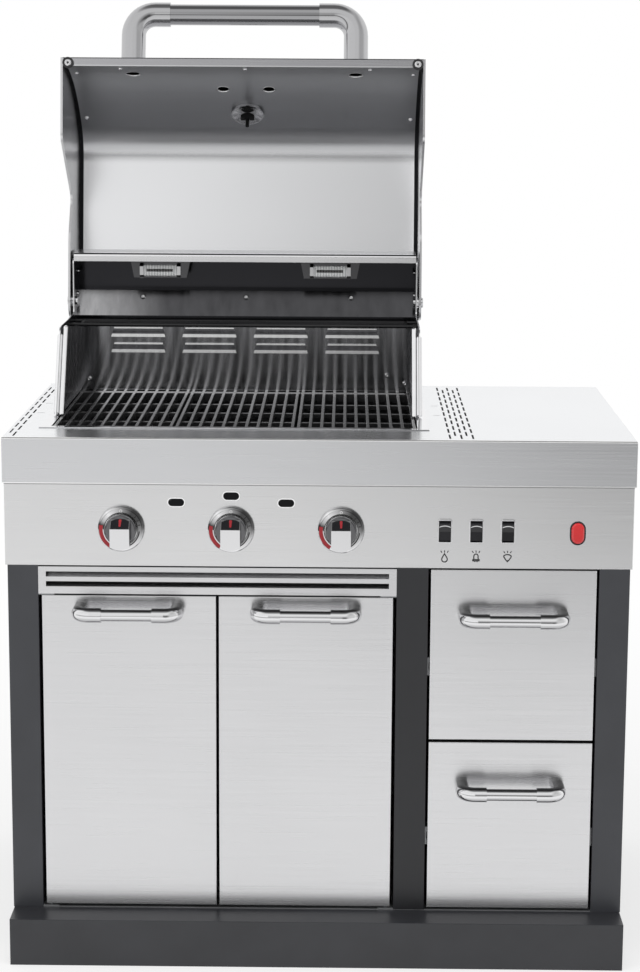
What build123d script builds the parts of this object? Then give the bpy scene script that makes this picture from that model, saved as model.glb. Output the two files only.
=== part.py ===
from build123d import *
import os
from math import cos, degrees, radians, sin

# Outdoor kitchen: a steel cabinet on a plinth, with a drop-in gas grill, two doors and two drawers.
# Millimetres. X runs to the right, Y from the front of the cabinet to its back, Z up from the floor.
# The lid is modelled shut and then swung open about its pivot, which is how the kitchen stands at rest.

# Where the origin stands, measured back from the cabinet's front face
ORIGIN_DEPTH = 332.0

# Cabinet front, from left to right
CORNER_POST_WIDTH = 52.0
MIDDLE_POST_WIDTH = 54.0
POST_DEPTH = 50.0
DOOR_WIDTH = 297.0
DOOR_SIDE_GAP = 5.5
DOOR_MIDDLE_GAP = 4.4
DRAWER_WIDTH = 281.5
DRAWER_SIDE_GAP = 4.0

# Cabinet front, from the floor up
PLINTH_HEIGHT = 82.0
DOOR_FLOOR_GAP = 6.0
DOOR_HEIGHT = 552.0
LOUVRE_GAP = 2.5
LOUVRE_HEIGHT = 47.0
KNOB_RISE = 64.5
LENS_RISE = 57.0
LENS_MARGIN = 19.5
APRON_HEIGHT = 79.0

# Cabinet and grill, from front to back
FRONT_SHELF = 110.0
PAN_LENGTH = 435.0
HOUSING_REACH = 75.0
REAR_FLANGE = 12.0
REAR_SHELF = 35.0
BODY_SETBACK = 27.0

# Sheets
PANEL_SHEET = 1.5
PANEL_SETBACK = 1.0
WORKTOP_SHEET = 1.5
WORKTOP_ROUND = 3.0
WORKTOP_OVERHANG = 6.5

# Plinth
PLINTH_INSET = 1.5
PLINTH_LEDGE = 63.0
PLINTH_SHEET = 1.5
PLINTH_FOOT = 28.0

# Vent slots punched beside the grill
SLOT_LENGTH = 44.0
SLOT_WIDTH = 3.2
SLOT_PITCH = 64.5
SLOT_FRONT = 14.0
SLOT_OFFSET = 369.0
COLUMN_PITCH = 9.7
RIGHT_COLUMN_COUNT = 5
LEFT_COLUMN_COUNT = 2
SLIT_LENGTH = 13.0
SLIT_WIDTH = 2.4
SLIT_OFFSET = 355.5
SLIT_FIRST = 164.0
SLIT_PITCH = 118.0

# Control panel and louvre panel
CONTROL_OVERHANG = 4.0
CONTROL_RETURN = 40.0
LOUVRE_RETURN = 14.0
LOUVRE_SLOT_HEIGHT = 9.0
LOUVRE_SLOT_RISE = 12.5
LOUVRE_SLOT_PITCH = 17.0
LOUVRE_SLOT_COUNT = 2
LOUVRE_SLOT_MARGIN = 13.0

# Doors
DOOR_THICKNESS = 16.0
DOOR_ROUND = 1.5
DOOR_SHEET = 1.5
DOOR_LAP = 24.0
HINGE_INSET = 8.0
HINGE_PIN = 6.0
HINGE_PIN_REACH = 13.0
HINGE_CLEARANCE = 0.3
HINGE_PLATE = 2.0

# Drawers
DRAWER_FLOOR_GAP = 5.5
DRAWER_GAP = 4.5
DRAWER_FRONT = 16.0
DRAWER_BOX_DEPTH = 484.0
DRAWER_BOX_HEIGHT = 205.0
DRAWER_BOX_LIFT = 22.0
DRAWER_SHEET = 1.2
RAIL_WIDTH = 12.0
RAIL_HEIGHT = 32.0
RAIL_WEB = 3.0
RAIL_LENGTH = 520.0
RUNNER_HEIGHT = 11.0
RUNNER_CLEARANCE = 0.3
RUNNER_SIDE_CLEARANCE = 1.0
BOX_CLEARANCE = 1.0

# Bar handles of doors and drawers
HANDLE_SPAN = 165.0
HANDLE_BAR = 20.0
HANDLE_ELBOW = 25.0
HANDLE_REACH = 46.0
HANDLE_BEND = 20.0
HANDLE_SLEEVE = 40.0
HANDLE_WALL = 3.0
DOOR_HANDLE_DROP = 24.0
DRAWER_HANDLE_DROP = 79.0

# Knobs, valves and gas pipe
KNOB_PITCH = 186.0
BEZEL_DIAMETER = 79.0
BEZEL_BORE = 56.0
BEZEL_DEPTH = 9.0
KNOB_DIAMETER = 53.0
KNOB_BASE = 12.0
KNOB_GAP = 6.5
GRIP_LENGTH = 60.0
GRIP_WIDTH = 33.0
GRIP_HEIGHT = 19.0
GRIP_TOP = 5.5
GRIP_SLOPE = 14.5
STEM_DIAMETER = 8.0
STEM_CLEARANCE = 0.25
STEM_HOLE = 10.0
STEM_FRONT = 30.0
STEM_BACK = 28.0
STEM_TRAVEL = 5.0
VALVE_WIDTH = 26.0
VALVE_BODY_DEPTH = 52.0
VALVE_BELOW = 16.0
VALVE_RISER = 15.0
NOZZLE_DIAMETER = 12.0
NOZZLE_ENTRY = 7.0
MANIFOLD_DIAMETER = 20.0
MANIFOLD_OVERHANG = 60.0
INLET_DROP = 70.0
INLET_NUT = 20.0
INLET_NUT_DIAMETER = 28.0
INLET_BORE = 12.0

# Switches, lenses and lamp on the control panel
SWITCH_INSET = 22.5
SWITCH_PITCH = 53.3
SWITCH_COUNT = 3
SWITCH_DROP = 0.5
SWITCH_WIDTH = 25.0
SWITCH_LENGTH = 42.0
SWITCH_RIM = 2.2
SWITCH_CORNER = 5.0
SWITCH_PROUD = 3.0
SWITCH_BODY_DEPTH = 24.0
ROCKER_RADIUS = 18.0
ROCKER_CLEARANCE = 0.4
ROCKER_TILT = 10.0
ROCKER_CREST = 7.0
ROCKER_DISH = 4.0
LENS_LENGTH = 27.0
LENS_HEIGHT = 13.0
LENS_DEPTH = 5.0
LENS_PROUD = 1.0
LENS_FIT = 0.1
LENS_SIDE_DROP = 11.5
PILOT_INSET = 34.5
PILOT_DROP = 2.5
PILOT_WIDTH = 22.0
PILOT_LENGTH = 36.0
PILOT_PROUD = 5.0

# Firebox pan, dropped into the worktop
GRILL_INSET = 387.0
FLANGE_SIDE = 18.5
FLANGE_LAP = 10.0
FLANGE_SHEET = 1.5
PAN_HALF = 318.0
PAN_WALL = 137.0
PAN_FALL = 33.0
PAN_TROUGH = 80.0
PAN_SHEET = 1.5
PAN_CLEARANCE = 1.5
DRAIN_LENGTH = 120.0
DRAIN_WIDTH = 30.0
LEDGE_WIDTH = 9.0
REAR_LIP = 4.5
TRAY_LENGTH = 300.0
TRAY_HEIGHT = 26.0
TRAY_SHEET = 1.5
TRAY_ROUND = 6.0

# Cooking grates
GRATE_COUNT = 3
GRATE_GAP = 1.5
GRATE_SINK = 0.5
GRATE_HEIGHT = 15.0
GRATE_BAR_COUNT = 11
GRATE_BAR = 5.0
GRATE_BAR_FOOT = 9.0
GRATE_END = 9.0
GRATE_RIB = 8.0
GRATE_RIB_HEIGHT = 8.0
GRATE_RIB_COUNT = 3
GRATE_END_CLEARANCE = 1.0

# Burners and heat tents
BURNER_DROP = 112.5
BURNER_DIAMETER = 30.0
BURNER_BORE = 26.0
BURNER_REACH = 10.0
BURNER_SHORT = 16.0
BURNER_FIT = 0.3
TENT_HALF = 62.0
TENT_DROP = 40.0
TENT_RISE = 36.0
TENT_SHEET = 1.5

# Firebox walls above the worktop
WALL_SPREAD = 7.0
WALL_SHEET = 2.5
WALL_SETBACK = 122.0
WALL_LEAN = 84.0
WALL_HEIGHT = 150.5
WALL_CORNER = 18.0
UPSTAND_FORWARD = 17.0
UPSTAND_HEIGHT = 104.0
RIM_INSIDE = 15.0
RIM_OUTSIDE = 3.0
RIM_DEPTH = 14.0
RIM_ROUND = 4.5
RIM_ROLL = 10.0
RIM_STRIP_ROUND = 2.5
RIM_SHORT = 13.0

# Rear wall with its pressed hoods, rear housing, baffle
REAR_WALL_HEIGHT = 126.5
REAR_WALL_SHEET = 1.2
HOOD_LENGTH = 103.0
HOOD_SLANT = 6.0
HOOD_HEIGHT = 19.0
HOOD_PROUD = 8.0
HOOD_PITCH = 135.5
HOOD_COLUMN_COUNT = 4
HOOD_DROP = 20.3
HOOD_ROW_PITCH = 29.8
HOOD_ROW_COUNT = 2
HOUSING_RISE = 11.0
BAND_HEIGHT = 15.5
BAND_ROUND = 6.0
BAFFLE_RISE = 18.0
BAFFLE_HEIGHT = 46.0
BAFFLE_SETBACK = 15.0
BAFFLE_LEAN = 24.0

# Cooking lights
LAMP_WIDTH = 118.0
LAMP_TAPER = 9.0
LAMP_PITCH = 322.0
LAMP_HEIGHT = 46.0
LAMP_SETBACK = 3.0
LAMP_DEPTH = 30.0
GLASS_LENGTH = 76.0
GLASS_HEIGHT = 22.0
GLASS_RISE = 2.5
GLASS_RECESS = 8.0
GLASS_PROUD = 4.0

# Warming rack
RACK_INSET = 18.5
RACK_RISE = 10.0
RACK_CLEARANCE = 7.0
RACK_DEPTH = 66.0
RACK_WIRE_COUNT = 7
RACK_WIRE = 4.0
RACK_FRAME = 7.0
RACK_SIDE = 6.0

# Lid, sizes given with the lid shut
LID_SIDE_GAP = 4.0
LID_PLATE = 4.0
LID_SETBACK = 14.5
LID_GAP = 7.5
LID_HEADROOM = 43.3
LID_FRONT_TURN = 34.0
LID_CORNER_RADIUS = 90.0
LID_SHEET = 1.5
LID_DOUBLE = 14.0
LID_LINER_GAP = 7.0
LID_OPEN = 99.0
LID_OVERRUN = 27.0
PIVOT_SETBACK = 3.0
PIVOT_RISE = 23.0
PIVOT_PIN = 10.0
PIVOT_CLEARANCE = 0.3
PIVOT_HEAD = 20.0
PIVOT_NUT = 16.0
PIVOT_HEAD_THICKNESS = 4.0
LOBE_RADIUS = 34.0
SKIRT_CLEARANCE = 4.0
NOTCH_START = 30.0
NOTCH_MIDDLE = 196.0
NOTCH_END = 120.0
NOTCH_RISE = 1.0
NOTCH_ROUND = 17.0
FRONT_RAIL = 12.0
BUMPER_DIAMETER = 20.0
BUMPER_CLEARANCE = 2.0
BUMPER_INSET = 14.0

# Lid handle and thermometer
LID_HANDLE_SPAN = 412.0
LID_HANDLE_BAR = 38.0
LID_HANDLE_ELBOW = 45.0
LID_HANDLE_REACH = 98.0
LID_HANDLE_BEND = 40.0
LID_HANDLE_SLEEVE = 68.0
LID_HANDLE_RISE = 66.0
ACCESS_HOLE = 28.0
ACCESS_SMALL = 24.0
ACCESS_SMALL_PITCH = 86.0
ACCESS_SMALL_RISE = 143.0
THERMO_RISE = 230.0
THERMO_DIAL = 74.0
THERMO_DIAL_HEIGHT = 13.0
THERMO_STEM = 7.0
THERMO_HOLE = 8.5
THERMO_CUP = 62.0
THERMO_CUP_DEPTH = 5.0
THERMO_DISH = 36.0
THERMO_CUP_RIM = 2.0
THERMO_NUT = 26.0
THERMO_NUT_HEIGHT = 13.0

# Widths worked out from the sizes above
DOOR_OPENING = 2 * DOOR_WIDTH + DOOR_MIDDLE_GAP + 2 * DOOR_SIDE_GAP
DRAWER_OPENING = DRAWER_WIDTH + 2 * DRAWER_SIDE_GAP
BODY_WIDTH = 2 * CORNER_POST_WIDTH + DOOR_OPENING + MIDDLE_POST_WIDTH + DRAWER_OPENING
WORKTOP_WIDTH = BODY_WIDTH + 2 * WORKTOP_OVERHANG
CONTROL_WIDTH = BODY_WIDTH + 2 * CONTROL_OVERHANG
PLINTH_WIDTH = BODY_WIDTH - 2 * PLINTH_INSET
SIDE_INNER = BODY_WIDTH / 2 - PANEL_SHEET
CORNER_INNER = BODY_WIDTH / 2 - CORNER_POST_WIDTH
MIDDLE_POST_LEFT = DOOR_OPENING - CORNER_INNER
MIDDLE_POST_RIGHT = MIDDLE_POST_LEFT + MIDDLE_POST_WIDTH
GRILL_CENTRE = GRILL_INSET - WORKTOP_WIDTH / 2
KNOB_PLACES = tuple(GRILL_CENTRE + KNOB_PITCH * i for i in (-1, 0, 1))
PILOT_X = CORNER_INNER - DRAWER_SIDE_GAP - PILOT_INSET
FLANGE_HALF = PAN_HALF + FLANGE_SIDE
WALL_HALF = PAN_HALF + WALL_SPREAD
WALL_INNER = WALL_HALF - WALL_SHEET
RIM_OUTER = WALL_HALF + RIM_OUTSIDE
RIM_INNER = WALL_HALF - RIM_INSIDE
LID_INNER = WALL_HALF + LID_SIDE_GAP
LID_HALF = LID_INNER + LID_PLATE
RACK_HALF = WALL_INNER - RACK_INSET

# Heights
FLOOR_TOP = PLINTH_HEIGHT + PANEL_SHEET
DOOR_BOTTOM = PLINTH_HEIGHT + DOOR_FLOOR_GAP
DOOR_TOP = DOOR_BOTTOM + DOOR_HEIGHT
LOUVRE_BOTTOM = DOOR_TOP + LOUVRE_GAP
LOUVRE_TOP = LOUVRE_BOTTOM + LOUVRE_HEIGHT
CONTROL_BOTTOM = LOUVRE_TOP + LOUVRE_GAP
DRAWER_BOTTOM = PLINTH_HEIGHT + DRAWER_FLOOR_GAP
DRAWER_TOP = CONTROL_BOTTOM - LOUVRE_GAP
KNOB_HEIGHT = CONTROL_BOTTOM + KNOB_RISE
LENS_MIDDLE_HEIGHT = KNOB_HEIGHT + LENS_RISE
LENS_SIDE_HEIGHT = LENS_MIDDLE_HEIGHT - LENS_SIDE_DROP
SWITCH_HEIGHT = KNOB_HEIGHT - SWITCH_DROP
PILOT_HEIGHT = KNOB_HEIGHT - PILOT_DROP
APRON_BOTTOM = LENS_MIDDLE_HEIGHT + LENS_MARGIN
WORKTOP_HEIGHT = APRON_BOTTOM + APRON_HEIGHT
WORKTOP_UNDER = WORKTOP_HEIGHT - WORKTOP_SHEET
FLANGE_TOP = WORKTOP_HEIGHT + FLANGE_SHEET
PAN_SHOULDER = WORKTOP_HEIGHT - PAN_WALL
PAN_FLOOR = PAN_SHOULDER - PAN_FALL
BURNER_HEIGHT = WORKTOP_HEIGHT - BURNER_DROP
TENT_PEAK = WORKTOP_HEIGHT - TENT_DROP
TENT_FOOT = TENT_PEAK - TENT_RISE
GRATE_TOP = FLANGE_TOP - GRATE_SINK
GRATE_REST = GRATE_TOP - GRATE_HEIGHT
WALL_TOP = FLANGE_TOP + WALL_HEIGHT
UPSTAND_TOP = WALL_TOP + UPSTAND_HEIGHT
HOUSING_TOP = UPSTAND_TOP + HOUSING_RISE
HOUSING_UNDER = HOUSING_TOP - PANEL_SHEET
LAMP_BOTTOM = HOUSING_UNDER - LAMP_HEIGHT
REAR_WALL_TOP = FLANGE_TOP + REAR_WALL_HEIGHT
RACK_HEIGHT = REAR_WALL_TOP + RACK_RISE
BAFFLE_BOTTOM = REAR_WALL_TOP + BAFFLE_RISE
PIVOT_HEIGHT = WALL_TOP + PIVOT_RISE
LID_BOTTOM = FLANGE_TOP + LID_GAP
LID_TOP = HOUSING_TOP + LID_HEADROOM

# Depths
PANEL_BACK = PANEL_SETBACK + PANEL_SHEET
VALVE_BACK = PANEL_BACK + VALVE_BODY_DEPTH
MANIFOLD_DEPTH = VALVE_BACK + MANIFOLD_DIAMETER / 2
PAN_FRONT = FRONT_SHELF
PAN_BACK = PAN_FRONT + PAN_LENGTH
PAN_INNER_FRONT = PAN_FRONT + PAN_SHEET
PAN_INNER_BACK = PAN_BACK - PAN_SHEET
FLANGE_FRONT = PAN_FRONT - FLANGE_LAP
BURNER_MOUTH = PAN_FRONT - BURNER_REACH
REAR_WALL = PAN_BACK
HOUSING_BACK = PAN_BACK + HOUSING_REACH
HOUSING_INNER_BACK = HOUSING_BACK - PANEL_SHEET
FLANGE_BACK = HOUSING_BACK + REAR_FLANGE
WORKTOP_DEPTH = FLANGE_BACK + REAR_SHELF
BODY_DEPTH = WORKTOP_DEPTH - BODY_SETBACK
WALL_FRONT = PAN_FRONT + WALL_SETBACK
UPSTAND_FRONT = PAN_BACK - UPSTAND_FORWARD
BAFFLE_FRONT = PAN_BACK + BAFFLE_SETBACK
LAMP_FRONT = PAN_BACK + LAMP_SETBACK
RACK_BACK = PAN_BACK - RACK_CLEARANCE
RACK_FRONT = RACK_BACK - RACK_DEPTH
PIVOT_DEPTH = PAN_BACK + PIVOT_SETBACK
LID_FRONT = FLANGE_FRONT + LID_SETBACK
LID_BACK = PIVOT_DEPTH + LID_OVERRUN

# The lid's front bulges on one large radius that meets the corner radius below the flat top
LID_TURN_SINE = sin(radians(LID_FRONT_TURN))
LID_FRONT_RISE = LID_TOP - LID_BOTTOM - LID_CORNER_RADIUS * (1 - LID_TURN_SINE)
LID_FRONT_RADIUS = LID_FRONT_RISE / LID_TURN_SINE


def block(x0, x1, y0, y1, z0, z1):
    """A box between two corners."""
    middle = Pos((x0 + x1) / 2, (y0 + y1) / 2, (z0 + z1) / 2)
    return middle * Box(x1 - x0, y1 - y0, z1 - z0)


def along_x(profile, x0, x1):
    """A profile drawn in depth and height, carried from one X to another."""
    return extrude(Plane.YZ.offset(x0) * profile, amount=x1 - x0)


def rod_x(diameter, x0, x1, y, z):
    return Pos((x0 + x1) / 2, y, z) * Rot(Y=90) * Cylinder(diameter / 2, x1 - x0)


def rod_y(diameter, y0, y1, x, z):
    return Pos(x, (y0 + y1) / 2, z) * Rot(X=90) * Cylinder(diameter / 2, y1 - y0)


def rod_z(diameter, z0, z1, x, y):
    return Pos(x, y, (z0 + z1) / 2) * Cylinder(diameter / 2, z1 - z0)


def rounded(face, corners):
    """Round some corners of a flat outline, each by its own radius."""
    for corner, radius in corners:
        face = fillet(face.vertices().sort_by_distance(corner)[0], radius)
    return face


def outline(points, corners=()):
    """A closed flat outline, with some of its corners rounded."""
    return rounded(make_face(Polyline(*points, close=True)), corners)


def obround_y(length, height, y0, y1, x, z, upright=False):
    """A round-ended plug through a front panel."""
    turn = 90 if upright else 0
    outline = Pos(x, y1, z) * Rot(X=90) * Rot(Z=turn) * SlotOverall(length, height)
    return extrude(outline, amount=y1 - y0)


def group(shapes):
    """Several separate solids kept as one named piece."""
    return Compound([solid for shape in shapes for solid in shape.solids()])


def mirrored(solid):
    """The same piece on the other side of the grill's middle."""
    return Pos(2 * GRILL_CENTRE, 0, 0) * mirror(solid, about=Plane.YZ)


def save(name, shape):
    """Write one named piece, moved from the cabinet's front face to the origin."""
    os.makedirs("parts", exist_ok=True)
    export_step(Pos(0, -ORIGIN_DEPTH, 0) * shape, os.path.join("parts", name + ".step"))


# Cabinet

def plinth():
    half = PLINTH_WIDTH / 2
    back = BODY_DEPTH
    outer = block(-half, half, -PLINTH_LEDGE, back, 0, PLINTH_HEIGHT)
    outer = fillet(outer.edges().filter_by(Axis.X).group_by(Axis.Z)[-1], PLINTH_SHEET)
    inner = block(
        -half + PLINTH_SHEET, half - PLINTH_SHEET, -PLINTH_LEDGE + PLINTH_SHEET, back - PLINTH_SHEET,
        PLINTH_SHEET, PLINTH_HEIGHT - PLINTH_SHEET,
    )
    opening = block(
        -half + PLINTH_FOOT, half - PLINTH_FOOT, -PLINTH_LEDGE + PLINTH_FOOT, back - PLINTH_FOOT,
        0, PLINTH_SHEET,
    )
    hatch = block(
        -half + PLINTH_FOOT, half - PLINTH_FOOT, PLINTH_FOOT, back - PLINTH_FOOT,
        PLINTH_HEIGHT - PLINTH_SHEET, PLINTH_HEIGHT,
    )
    return outer - inner - opening - hatch


def base_floor():
    return block(-SIDE_INNER, SIDE_INNER, PANEL_SHEET, BODY_DEPTH - PANEL_SHEET, PLINTH_HEIGHT, FLOOR_TOP)


def post(x0, x1, bottom):
    """A folded channel, open to the back."""
    outer = block(x0, x1, 0, POST_DEPTH, bottom, CONTROL_BOTTOM)
    outer = fillet(outer.edges().filter_by(Axis.Z).group_by(Axis.Y)[0], PANEL_SHEET)
    inner = block(x0 + PANEL_SHEET, x1 - PANEL_SHEET, PANEL_SHEET, POST_DEPTH, bottom, CONTROL_BOTTOM)
    return outer - inner


def corner_posts():
    half = BODY_WIDTH / 2
    notch = block(-SIDE_INNER, SIDE_INNER, PANEL_SHEET, POST_DEPTH, PLINTH_HEIGHT, FLOOR_TOP)
    sides = [post(-half, -CORNER_INNER, PLINTH_HEIGHT), post(CORNER_INNER, half, PLINTH_HEIGHT)]
    return group(side - notch for side in sides)


def middle_post():
    return post(MIDDLE_POST_LEFT, MIDDLE_POST_RIGHT, FLOOR_TOP)


def side_panel(sign):
    x0, x1 = sorted((sign * SIDE_INNER, sign * BODY_WIDTH / 2))
    return block(x0, x1, POST_DEPTH, BODY_DEPTH, PLINTH_HEIGHT, WORKTOP_UNDER)


def back_panel():
    return block(
        -SIDE_INNER, SIDE_INNER, BODY_DEPTH - PANEL_SHEET, BODY_DEPTH, PLINTH_HEIGHT, WORKTOP_UNDER,
    )


def divider_panel():
    return block(
        MIDDLE_POST_RIGHT - PANEL_SHEET, MIDDLE_POST_RIGHT, POST_DEPTH, BODY_DEPTH - PANEL_SHEET,
        FLOOR_TOP, WORKTOP_UNDER,
    )


def louvre_panel():
    x0, x1 = -CORNER_INNER, MIDDLE_POST_LEFT
    top = LOUVRE_TOP
    back = PANEL_SETBACK + LOUVRE_RETURN
    panel = block(x0, x1, PANEL_SETBACK, PANEL_BACK, LOUVRE_BOTTOM, top)
    panel += block(x0, x1, PANEL_SETBACK, back, LOUVRE_BOTTOM, LOUVRE_BOTTOM + PANEL_SHEET)
    panel += block(x0, x1, PANEL_SETBACK, back, top - PANEL_SHEET, top)
    left, right = x0 + LOUVRE_SLOT_MARGIN, x1 - LOUVRE_SLOT_MARGIN
    for i in range(LOUVRE_SLOT_COUNT):
        low = LOUVRE_BOTTOM + LOUVRE_SLOT_RISE + LOUVRE_SLOT_PITCH * i
        panel -= block(left, right, PANEL_SETBACK, PANEL_BACK, low, low + LOUVRE_SLOT_HEIGHT)
        vane = outline([
            (PANEL_SETBACK, low),
            (PANEL_SETBACK, low - PANEL_SHEET),
            (back, low + LOUVRE_SLOT_HEIGHT - PANEL_SHEET),
            (back, low + LOUVRE_SLOT_HEIGHT),
        ])
        panel += along_x(vane, left, right)
    return panel


def worktop():
    half = WORKTOP_WIDTH / 2
    sheet = WORKTOP_SHEET
    top = block(-half, half, 0, WORKTOP_DEPTH, APRON_BOTTOM, WORKTOP_HEIGHT)
    top = fillet(top.edges().group_by(Axis.Z)[-1], WORKTOP_ROUND)
    top -= block(-half + sheet, half - sheet, sheet, WORKTOP_DEPTH - sheet, APRON_BOTTOM, WORKTOP_UNDER)
    pan = PAN_HALF + PAN_CLEARANCE
    cuts = [block(
        GRILL_CENTRE - pan, GRILL_CENTRE + pan, PAN_FRONT - PAN_CLEARANCE, PAN_BACK + PAN_CLEARANCE,
        WORKTOP_UNDER, WORKTOP_HEIGHT,
    )]
    slot_count = int((WORKTOP_DEPTH - 2 * SLOT_FRONT - SLOT_LENGTH) // SLOT_PITCH) + 1
    for side, columns in ((1, RIGHT_COLUMN_COUNT), (-1, LEFT_COLUMN_COUNT)):
        for column in range(columns):
            x = GRILL_CENTRE + side * (SLOT_OFFSET + column * COLUMN_PITCH)
            stagger = column % 2
            for i in range(slot_count - stagger):
                y = SLOT_FRONT + (i + stagger / 2) * SLOT_PITCH
                cuts.append(block(
                    x - SLOT_WIDTH / 2, x + SLOT_WIDTH / 2, y, y + SLOT_LENGTH,
                    WORKTOP_UNDER, WORKTOP_HEIGHT,
                ))
        for y in (PAN_FRONT + SLIT_FIRST, PAN_FRONT + SLIT_FIRST + SLIT_PITCH):
            x = GRILL_CENTRE + side * SLIT_OFFSET
            cuts.append(block(
                x - SLIT_LENGTH / 2, x + SLIT_LENGTH / 2, y, y + SLIT_WIDTH,
                WORKTOP_UNDER, WORKTOP_HEIGHT,
            ))
    return top - cuts


# Control panel and what sits in it

def switch_places():
    first = MIDDLE_POST_RIGHT + DRAWER_SIDE_GAP + SWITCH_INSET
    return [first + SWITCH_PITCH * i for i in range(SWITCH_COUNT)]


def lens_places():
    side = [(GRILL_CENTRE + KNOB_PITCH / 2 * i, LENS_SIDE_HEIGHT) for i in (-1, 1)]
    return side + [(GRILL_CENTRE, LENS_MIDDLE_HEIGHT)]


def switch_body(inset, corner, y0, y1, x):
    """A rounded block through the panel, shaped like a rocker switch's body."""
    shape = RectangleRounded(SWITCH_WIDTH - inset, SWITCH_LENGTH - inset, corner)
    face = Pos(x, y1, SWITCH_HEIGHT) * Rot(X=90) * shape
    return extrude(face, amount=y1 - y0)


def control_panel():
    half = CONTROL_WIDTH / 2
    panel = block(-half, half, PANEL_SETBACK, CONTROL_RETURN, CONTROL_BOTTOM, APRON_BOTTOM)
    panel = fillet(panel.edges().filter_by(Axis.Z).group_by(Axis.Y)[0], PANEL_SHEET)
    panel -= block(
        -half + PANEL_SHEET, half - PANEL_SHEET, PANEL_BACK, CONTROL_RETURN,
        CONTROL_BOTTOM + PANEL_SHEET, APRON_BOTTOM - PANEL_SHEET,
    )
    cuts = [rod_y(STEM_HOLE, PANEL_SETBACK, PANEL_BACK, x, KNOB_HEIGHT) for x in KNOB_PLACES]
    cuts += [switch_body(SWITCH_RIM, SWITCH_RIM, PANEL_SETBACK, PANEL_BACK, x) for x in switch_places()]
    fit = 2 * LENS_FIT
    cuts += [
        obround_y(LENS_LENGTH + fit, LENS_HEIGHT + fit, PANEL_SETBACK, PANEL_BACK, x, z)
        for x, z in lens_places()
    ]
    cuts.append(obround_y(
        PILOT_LENGTH + fit, PILOT_WIDTH + fit, PANEL_SETBACK, PANEL_BACK, PILOT_X, PILOT_HEIGHT, True,
    ))
    return panel - cuts


def knob_bezel(x):
    front = PANEL_SETBACK - BEZEL_DEPTH
    ring = rod_y(BEZEL_DIAMETER, front, PANEL_SETBACK, x, KNOB_HEIGHT)
    ring = fillet(ring.edges().group_by(Axis.Y)[0], BEZEL_DEPTH / 2)
    ring -= rod_y(BEZEL_BORE, front, PANEL_SETBACK, x, KNOB_HEIGHT)
    return ring


def knob(x):
    back = PANEL_SETBACK - KNOB_GAP
    shoulder = back - KNOB_BASE
    front = shoulder - GRIP_HEIGHT
    base = rod_y(KNOB_DIAMETER, shoulder, back, x, KNOB_HEIGHT)
    base = fillet(base.edges().group_by(Axis.Y)[0], KNOB_BASE / 4)
    reach = GRIP_LENGTH / 2
    side = outline([
        (shoulder, KNOB_HEIGHT - reach),
        (front, KNOB_HEIGHT - reach),
        (front, KNOB_HEIGHT + GRIP_TOP),
        (shoulder, KNOB_HEIGHT + GRIP_TOP + GRIP_SLOPE),
    ])
    grip = along_x(side, x - GRIP_WIDTH / 2, x + GRIP_WIDTH / 2)
    grip &= rod_y(GRIP_LENGTH, front, back, x, KNOB_HEIGHT)
    bore = STEM_DIAMETER + 2 * STEM_CLEARANCE
    hole = rod_y(bore, PANEL_SETBACK - STEM_FRONT - 2 * STEM_CLEARANCE, back, x, KNOB_HEIGHT)
    return base + grip - hole


def valve_stem(x):
    return rod_y(STEM_DIAMETER, PANEL_SETBACK - STEM_FRONT, PANEL_BACK + STEM_BACK, x, KNOB_HEIGHT)


def gas_valve(x):
    half = VALVE_WIDTH / 2
    low = KNOB_HEIGHT - VALVE_BELOW
    body = block(x - half, x + half, PANEL_BACK, VALVE_BACK, low, KNOB_HEIGHT + VALVE_BELOW)
    body = fillet(body.edges().filter_by(Axis.Y), half / 3)
    body += block(x - half, x + half, VALVE_BACK - VALVE_RISER, VALVE_BACK, KNOB_HEIGHT, BURNER_HEIGHT + half)
    body += rod_y(NOZZLE_DIAMETER, VALVE_BACK, BURNER_MOUTH + NOZZLE_ENTRY, x, BURNER_HEIGHT)
    bore = STEM_DIAMETER + 2 * STEM_CLEARANCE
    depth = STEM_BACK + STEM_TRAVEL + PANEL_SHEET
    return body - rod_y(bore, PANEL_BACK, PANEL_BACK + depth, x, KNOB_HEIGHT)


def gas_manifold():
    x0 = KNOB_PLACES[0] - MANIFOLD_OVERHANG
    x1 = KNOB_PLACES[-1] + MANIFOLD_OVERHANG
    pipe = rod_x(MANIFOLD_DIAMETER, x0, x1, MANIFOLD_DEPTH, KNOB_HEIGHT)
    drop_x = x0 + MANIFOLD_DIAMETER / 2
    bottom = KNOB_HEIGHT - INLET_DROP
    drop = rod_z(MANIFOLD_DIAMETER, bottom, KNOB_HEIGHT, drop_x, MANIFOLD_DEPTH)
    nut = Pos(drop_x, MANIFOLD_DEPTH, bottom) * extrude(RegularPolygon(INLET_NUT_DIAMETER / 2, 6), INLET_NUT)
    return pipe + drop + nut - rod_z(INLET_BORE, bottom, bottom + INLET_NUT, drop_x, MANIFOLD_DEPTH)


def rocker_pivot():
    return PANEL_SETBACK + ROCKER_CREST


def switch_housing(x):
    front = PANEL_SETBACK - SWITCH_PROUD
    back = PANEL_SETBACK + SWITCH_BODY_DEPTH
    rim = switch_body(0, SWITCH_CORNER, front, PANEL_SETBACK, x)
    rim = fillet(rim.edges().group_by(Axis.Y)[0], SWITCH_RIM / 2)
    body = switch_body(SWITCH_RIM, SWITCH_RIM, PANEL_SETBACK, back, x)
    half = SWITCH_WIDTH / 2 - SWITCH_RIM
    reach = ROCKER_RADIUS + ROCKER_CLEARANCE
    pocket = block(
        x - half, x + half, front, back - SWITCH_RIM, SWITCH_HEIGHT - reach, SWITCH_HEIGHT + reach,
    )
    return rim + body - pocket


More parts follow.
